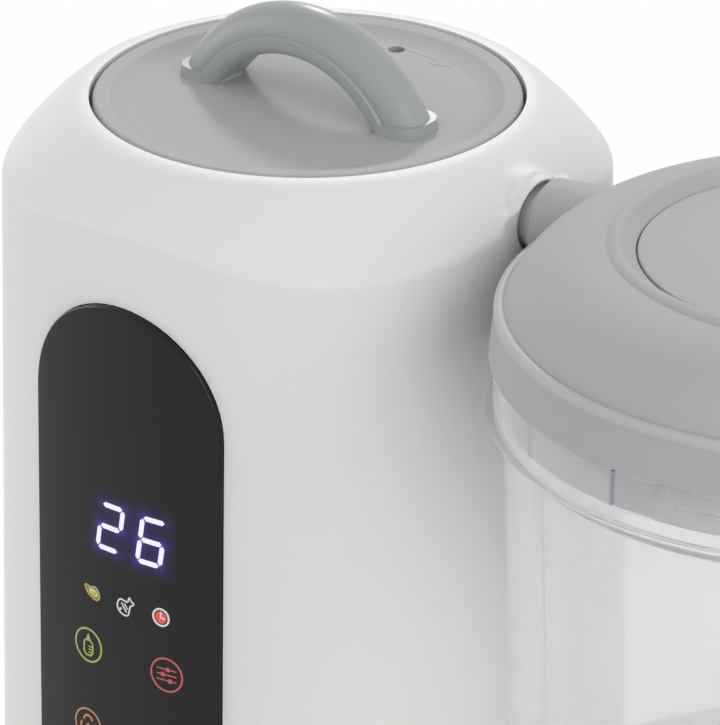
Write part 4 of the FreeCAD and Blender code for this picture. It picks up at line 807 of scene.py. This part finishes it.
@dataclass
class JarLid(SubAssembly):
    """Lid with its spout, liner and seal.

    The bead's radius, level and roundness are in millimetres, the spout's turn and half width in degrees.
    """

    finishes: ClassVar[Outfit] = {
        GREY_PP: ("jar_lid", "lid_disc"),
        # The liner takes polypropylene darkened with painted shade
        SHADED_GREY_PP: ("lid_liner",),
        GREY_SILICONE: ("lid_gasket",),
    }

    bead_radius: float = 65.9
    bead_level: float = 190.6
    bead_round: float = 1.45
    spout_turn: float = 180.0
    spout_half: float = 7.0
    bead_columns: int = 180
    bead_sides: int = 20

    def build(self) -> None:
        """Dress the lid and lay a round bead where its dome meets the skirt, broken by the spout."""
        super().build()
        bends = [math.tau * side / self.bead_sides for side in range(self.bead_sides)]
        sweep = 360 - 2 * self.spout_half
        up = Vector((0, 0, 1))
        sections = []
        for column in range(self.bead_columns + 1):
            share = column / self.bead_columns
            turn = math.radians(self.spout_turn + self.spout_half + sweep * share)
            out = Vector((math.cos(turn), math.sin(turn), 0))
            core = Vector((JAR_MIDDLE, 0, self.bead_level)) + out * self.bead_radius
            sections.append([(core + (out * math.cos(bend) + up * math.sin(bend)) * self.bead_round) * MM
                             for bend in bends])
        # The bead is painted lighter than the lid, as a highlight line along the rim
        self.dresser.place("dome_bead", tube(sections, closed=False), PAINTED_HIGHLIGHT_GREY_PP, Body.JAR_LID, "grey")


@dataclass
class Drive(SubAssembly):
    """Motor, fan and coupling in the pod."""

    finishes: ClassVar[Outfit] = {
        BLACK_RUBBER: ("motor_grommets",),
        BLACK_NYLON: ("motor_end_cap", "cooling_fan", "drive_coupling"),
        BRUSHED_STAINLESS: ("motor_can", "motor_plate", "motor_shaft"),
        DARK_STEEL: ("magnets", "armature"),
        TURNED_COPPER: ("motor_bearings", "commutator"),
    }


def bottle_sign() -> list[Loop]:
    """Outline a bottle about its own middle: body, teat and scale."""
    body = rounded([(-1.3, -2.4), (1.3, -2.4), (1.3, 0.6), (0.7, 1.2), (-0.7, 1.2), (-1.3, 0.6)], rounds=1)
    teat = rounded([(-0.8, 1.4), (0.8, 1.4), (0.3, 2.0), (0.2, 2.7), (-0.2, 2.7), (-0.3, 2.0)], rounds=1)
    scale = [bar((0.1, level), (1.0, level), width=0.26) for level in (-1.6, -0.9, -0.2)]
    return [*drawn_line(body, width=0.38), teat, *scale]


def slider_sign() -> list[Loop]:
    """Outline three sliders about their own middle, each a line with its knob."""
    half = 2.4
    signs = []
    for level, knob in ((-1.3, 0.9), (0.0, -0.9), (1.3, 0.3)):
        signs += [bar((-half, level), (half, level), width=0.3), disc(knob, level, radius=0.55)]
    return signs


def blade_sign() -> list[Loop]:
    """Outline three curved blades about their hub."""
    out = 1.1
    signs = [disc(0, 0, radius=0.45)]
    for turn in (90, 210, 330):
        x, z = out * math.cos(math.radians(turn)), out * math.sin(math.radians(turn))
        signs.append(arc_band(x, z, radius=1.5, width=0.5, start=turn - 80, sweep=170))
    return signs


def power_sign() -> list[Loop]:
    """Outline a power sign about its own middle: an open ring and a stroke."""
    opened = arc_band(0, -0.1, radius=2.1, width=0.45, start=120, sweep=300)
    return [opened, bar((0, 0.4), (0, 2.4), width=0.45)]


@dataclass(frozen=True)
class Key:
    """A touch key: the first word of its pieces' names, its middle, its ink and the sign in its ring."""

    name: str
    place: Point
    finish: Finish
    sign: Callable[[], list[Loop]]

    def drawn_sign(self) -> list[Loop]:
        """Outline the sign where the key lies."""
        return [[(self.place[0] + x, self.place[1] + z) for x, z in loop] for loop in self.sign()]


@dataclass
class TouchPanel(SubAssembly):
    """Smoked panel with its lit digits and printed marks.

    Marks are placed in millimetres: across from the panel's middle, and up from the floor.

    Attributes:
        lift, sink: Height of a mark in front of the face, and depth of its back in the panel.
        digit_height, digit_width: Sizes between the middle lines of the outer segments.
        digit_slant: Shift to the right for each millimetre up.
        haze_reach: Distance over which the light round the digits falls to about a third.
        haze_cut: How often the light at the sheet's edge is taken off, so that the haze ends in black.
        haze_swell, haze_tuck: Shares of lift by which the sheet rises, and its edge lies in the panel.
    """

    finishes: ClassVar[Outfit] = {
        SMOKED_ACRYLIC: ("control_panel",),
        BLACK_NYLON: ("panel_carrier", "digit_display"),
        SOLDER_MASK: ("display_board",),
        BRUSHED_STAINLESS: ("touch_springs",),
    }

    lift: float = 0.12
    sink: float = 0.1
    shown: tuple[tuple[Digit, Point], ...] = ((Digit.TWO, (-2.15, 126.5)), (Digit.SIX, (8.75, 126.4)))
    digit_height: float = 10.2
    digit_width: float = 5.7
    digit_slant: float = 0.145
    stroke: float = 1.15
    segment_gap: float = 0.22
    haze_colour: str = "6a50e6"
    haze_reach: float = 1.0
    haze_strength: float = 0.2
    haze_cut: float = 3.0
    haze_margin: float = 6.0
    haze_step: float = 0.45
    haze_swell: float = 0.6
    haze_tuck: float = 0.2
    keys: tuple[Key, ...] = (
        Key("bottle", (-8.7, 96.6), GREEN_INK, bottle_sign),
        Key("mode", (12.6, 96.25), RED_INK, slider_sign),
        Key("blend", (-8.9, 77.2), ORANGE_INK, blade_sign),
        Key("power", (12.5, 76.9), WHITE_INK, power_sign),
    )
    ring_radius: float = 4.05
    ring_width: float = 0.42
    root: ClassVar[Loop] = [(-9.7, 110.9), (-8.8, 111.0), (-8.0, 110.6), (-6.7, 111.3), (-5.5, 110.5),
                            (-5.2, 109.0), (-5.8, 108.1), (-7.2, 108.2), (-9.0, 109.3)]
    fish: ClassVar[Loop] = [(-0.5, 108.7), (0.3, 110.9), (1.9, 110.6), (2.6, 110.4), (3.0, 112.0),
                            (3.4, 111.0), (4.5, 110.5), (3.2, 109.8), (3.0, 108.6), (2.7, 107.2),
                            (1.0, 107.2)]
    clock: Point = (11.2, 109.5)
    drop: ClassVar[Loop] = [(20.0, 111.6), (20.9, 109.6), (20.7, 108.3), (19.3, 108.3), (19.1, 109.6)]
    pot: ClassVar[Loop] = [(-18.4, 110.3), (-15.5, 110.3), (-15.8, 108.2), (-18.1, 108.2)]
    skin: Skin = field(default_factory=lambda: Skin("control_panel"))

    def on_panel(self, x: float, z: float, lift: float) -> Vector:
        """Find a spot on the curved face, in millimetres right of its middle and above the floor."""
        return self.skin.meet(Vector(((TOWER_MIDDLE + x) * MM, -FAR, z * MM)), Vector((0, 1, 0)), lift)

    def inlay(self, name: str, loops: Sequence[Loop], finish: Finish, lift: Optional[float] = None) -> None:
        """Make thin closed inlays from flat outlines.

        Args:
            name: Piece name.
            loops: Outlines, each a simple polygon.
            finish: Finish that the mark takes.
            lift: Millimetres in front of the face, where marks lie over one another.
        """
        mesh = raised(loops, self.on_panel, self.lift if lift is None else lift, self.sink)
        self.dresser.place(name, mesh, finish, Body.BASE, "lens")

    def segments(self, digit: Digit, place: Point) -> list[Span]:
        """Lay out the middle lines of a slanted digit's lit segments.

        Args:
            digit: The digit.
            place: Its middle.

        Returns:
            Both ends of each lit segment.
        """
        tall, wide = self.digit_height / 2, self.digit_width / 2
        spans = {"a": ((-wide, tall), (wide, tall)), "b": ((wide, 0), (wide, tall)),
                 "c": ((wide, -tall), (wide, 0)), "d": ((-wide, -tall), (wide, -tall)),
                 "e": ((-wide, -tall), (-wide, 0)), "f": ((-wide, 0), (-wide, tall)),
                 "g": ((-wide, 0), (wide, 0))}
        return [tuple((place[0] + x + self.digit_slant * z, place[1] + z) for x, z in spans[letter])
                for letter in digit.value]

    def pointed(self, start: Point, end: Point) -> Loop:
        """Outline one lit segment as a bar with pointed ends.

        Args:
            start: One end of its middle line.
            end: The other end.

        Returns:
            The outline.
        """
        first, last = Vector(start), Vector(end)
        along = (last - first).normalized()
        side = Vector((-along.y, along.x)) * self.stroke / 2
        first, last = first + along * self.segment_gap, last - along * self.segment_gap
        inset = along * self.stroke / 2
        corners = (first, first + inset + side, last - inset + side,
                   last, last - inset - side, first + inset - side)
        return [tuple(corner) for corner in corners]

    def digits(self) -> None:
        """Lay the lit digits and the haze that they throw in the acrylic."""
        lit = [span for digit, place in self.shown for span in self.segments(digit, place)]
        self.inlay("display_digits", [self.pointed(start, end) for start, end in lit], LIT_EPOXY)
        self.haze(lit)

    def haze(self, lit: Sequence[Span]) -> None:
        """Lay a thin sheet over the display, brighter the nearer a spot is to a lit segment.

        Args:
            lit: Both ends of each lit segment.
        """
        xs = [spot[0] for span in lit for spot in span]
        zs = [spot[1] for span in lit for spot in span]
        left, low = min(xs) - self.haze_margin, min(zs) - self.haze_margin
        across = round((max(xs) + self.haze_margin - left) / self.haze_step)
        up = round((max(zs) + self.haze_margin - low) / self.haze_step)
        spots, front, back = [], [], []
        for column in range(across + 1):
            line = [(left + column * self.haze_step, low + row * self.haze_step) for row in range(up + 1)]
            steps = [min(row, up - row, column, across - column) for row in range(up + 1)]
            rises = [min(step * self.haze_step / self.haze_margin, 1.0) * self.haze_swell for step in steps]
            front.append([self.on_panel(*spot, self.lift * (rise - self.haze_tuck))
                          for spot, rise in zip(line, rises)])
            back.append([self.on_panel(*spot, -self.sink) for spot in line])
            spots.append(line)
        mesh = bmesh.new()
        layer = mesh.verts.layers.float_color.new(LIT_ACRYLIC.glow_layer)
        colour = linear(self.haze_colour)
        for sheet in slab(mesh, (front, back)):
            for verts, column in zip(sheet, spots):
                for vert, spot in zip(verts, column):
                    share = self.haze_share(spot, lit)
                    vert[layer] = (colour[0] * share, colour[1] * share, colour[2] * share, 1.0)
        for face in mesh.faces:
            face.smooth = True
        self.dresser.place("display_haze", mesh, LIT_ACRYLIC, Body.BASE, "lens")

    def haze_share(self, spot: Point, lit: Sequence[Span]) -> float:
        """Add up the light that reaches a spot.

        Args:
            spot: The spot.
            lit: Both ends of each lit segment.

        Returns:
            Share of the haze's full strength.
        """
        total = 0.0
        for start, end in lit:
            along, offset = Vector(end) - Vector(start), Vector(spot) - Vector(start)
            part = min(max(offset.dot(along) / along.length_squared, 0.0), 1.0)
            gap = (offset - along * part).length
            total += math.exp(-gap / self.haze_reach)
        edge = math.exp(-self.haze_margin / self.haze_reach)
        return max(total - self.haze_cut * edge, 0.0) * self.haze_strength

    def food_marks(self) -> None:
        """Print the small lit row: a root, a fish and a clock."""
        root = rounded(self.root)
        self.inlay("root_mark", [root], OLIVE_INK)
        self.inlay("root_outline", drawn_line(root, width=0.28), STRAW_INK, lift=0.15)
        flesh = disc(-7.0, 109.7, radius=1.3, squeeze=0.62, tilt=-18)
        self.inlay("root_slice", [flesh], CREAM_INK, lift=0.16)
        curl = arc_band(-6.9, 109.75, radius=0.6, width=0.22, start=150, sweep=240)
        self.inlay("root_curl", [curl], OLIVE_INK, lift=0.2)
        stripes = [bar((0.9, 110.0), (2.2, 108.0), width=0.3), bar((1.7, 110.0), (2.5, 108.8), width=0.26)]
        eye = disc(0.65, 108.5, radius=0.3)
        self.inlay("fish_mark", [*drawn_line(rounded(self.fish), width=0.32), *stripes, eye], WHITE_INK)
        x, z = self.clock
        hands = [bar((x, z - 0.2), (x, z + 1.3), width=0.32),
                 bar((x - 0.1, z - 0.1), (x + 1.1, z - 0.1), width=0.32)]
        self.inlay("clock_rim", ring(x, z, radius=2.15, width=0.42), WHITE_INK)
        self.inlay("clock_face", [disc(x, z, radius=1.42)], SIGNAL_INK)
        self.inlay("clock_hands", hands, WHITE_INK, lift=0.17)

    def key_marks(self) -> None:
        """Print the touch keys: a ring with a sign in each."""
        for key in self.keys:
            self.inlay(f"{key.name}_ring", ring(*key.place, self.ring_radius, self.ring_width), key.finish)
        for key in self.keys:
            self.inlay(f"{key.name}_mark", key.drawn_sign(), key.finish)

    def unlit_marks(self) -> None:
        """Print the dial and the side signs that no lamp lights."""
        self.inlay("dial_ring", ring(2.0, 87.1, radius=2.55, width=0.35), UNLIT_INK, lift=0.03)
        outlines = (rounded(self.drop), rounded(self.pot, rounds=1))
        signs = [stroke for outline in outlines for stroke in drawn_line(outline, width=0.3)]
        self.inlay("side_signs", signs, UNLIT_INK, lift=0.03)

    def build(self) -> None:
        """Dress the panel and lay every mark on it."""
        super().build()
        self.digits()
        self.food_marks()
        self.key_marks()
        self.unlit_marks()


@dataclass(frozen=True)
class SoftBox:
    """A square lamp, as bright on what it faces as its level says, where 1 shows colours as written."""

    name: str
    place: Triple
    level: float
    size: float
    aim: Triple = (0.0, 0.0, 0.1)

    def hang(self) -> None:
        """Hang the lamp and turn it to the object."""
        reach = Vector(self.aim) - Vector(self.place)
        light = bpy.data.lights.new(self.name, "AREA")
        light.energy = self.level * math.pi ** 2 * reach.length_squared
        light.size = self.size
        lamp = bpy.data.objects.new(self.name, light)
        lamp.location = self.place
        lamp.rotation_euler = reach.to_track_quat("-Z", "Y").to_euler()
        bpy.context.scene.collection.objects.link(lamp)


@dataclass
class Studio:
    """Pale floor, soft lights and the camera, in metres and degrees, and for the lens in millimetres."""

    camera_place: Triple = (0.52614, -0.77319, 0.60728)
    azimuth: float = 37.67
    elevation: float = 25.31
    lens: float = 248.3
    sensor: float = 36.0
    sky_level: float = 0.64
    sky_colour: str = "fcfcfc"
    paper_colour: str = "dcdcdc"
    floor_white: float = 0.97
    floor_size: float = 8.0
    floor_drop: float = 0.0002
    boxes: tuple[SoftBox, ...] = (
        SoftBox("back_box", (-0.97, 1.25, 1.13), level=0.28, size=0.25),
        SoftBox("right_box", (1.55, -0.5, 0.75), level=0.44, size=1.4),
        SoftBox("left_box", (-1.5, -0.65, 0.45), level=0.22, size=0.9),
    )

    def floor(self) -> None:
        """Lay a pale floor that shows white behind the object and keeps its shadow."""
        bpy.ops.mesh.primitive_plane_add(size=self.floor_size, location=(0, 0, -self.floor_drop))
        ground = bpy.context.object
        ground.name = "studio_floor"
        material = bpy.data.materials.new("rolled_studio_paper")
        tree = bare_tree(material)
        share = add_node(tree, "ShaderNodeMath", {0: seen_directly(tree)}, operation="MULTIPLY")
        share.inputs[1].default_value = self.floor_white
        paper = add_node(tree, "ShaderNodeBsdfDiffuse", Color=linear(self.paper_colour))
        white = add_node(tree, "ShaderNodeEmission", Strength=1.0)
        mix = add_node(tree, "ShaderNodeMixShader",
                       {0: share.outputs[0], 1: paper.outputs[0], 2: white.outputs[0]})
        add_node(tree, "ShaderNodeOutputMaterial", {"Surface": mix.outputs[0]})
        ground.data.materials.append(material)

    def sky(self) -> None:
        """Light everything evenly, and show white where nothing stands behind."""
        world = bpy.data.worlds.new("studio_sky")
        bpy.context.scene.world = world
        tree = bare_tree(world)
        level = add_node(tree, "ShaderNodeMapRange", {"Value": seen_directly(tree)},
                         To_Min=self.sky_level, To_Max=1.0)
        sky = add_node(tree, "ShaderNodeBackground", {"Strength": level.outputs["Result"]},
                       Color=linear(self.sky_colour))
        add_node(tree, "ShaderNodeOutputWorld", {"Surface": sky.outputs[0]})

    def camera(self) -> None:
        """Stand the camera at the photograph's viewing angle."""
        data = bpy.data.cameras.new("studio_camera")
        data.lens = self.lens
        data.sensor_width = self.sensor
        camera = bpy.data.objects.new("studio_camera", data)
        camera.location = self.camera_place
        camera.rotation_euler = (math.radians(90 - self.elevation), 0, math.radians(self.azimuth))
        bpy.context.scene.collection.objects.link(camera)
        bpy.context.scene.camera = camera

    def build(self) -> None:
        """Set up the whole studio."""
        bpy.context.scene.view_settings.view_transform = "Standard"
        self.floor()
        self.sky()
        for box in self.boxes:
            box.hang()
        self.camera()
        LOG.info("studio with %d lamps", len(self.boxes))


def main() -> None:
    """Build the studio and dress every sub-assembly."""
    logging.basicConfig(level=logging.INFO, format="%(message)s")
    dresser = Dresser()
    Studio().build()
    for part in (Tower, TowerLid, TouchPanel, Jar, JarLid, Drive):
        part(dresser).build()
    bpy.context.view_layer.update()


if __name__ == "__main__":
    main()
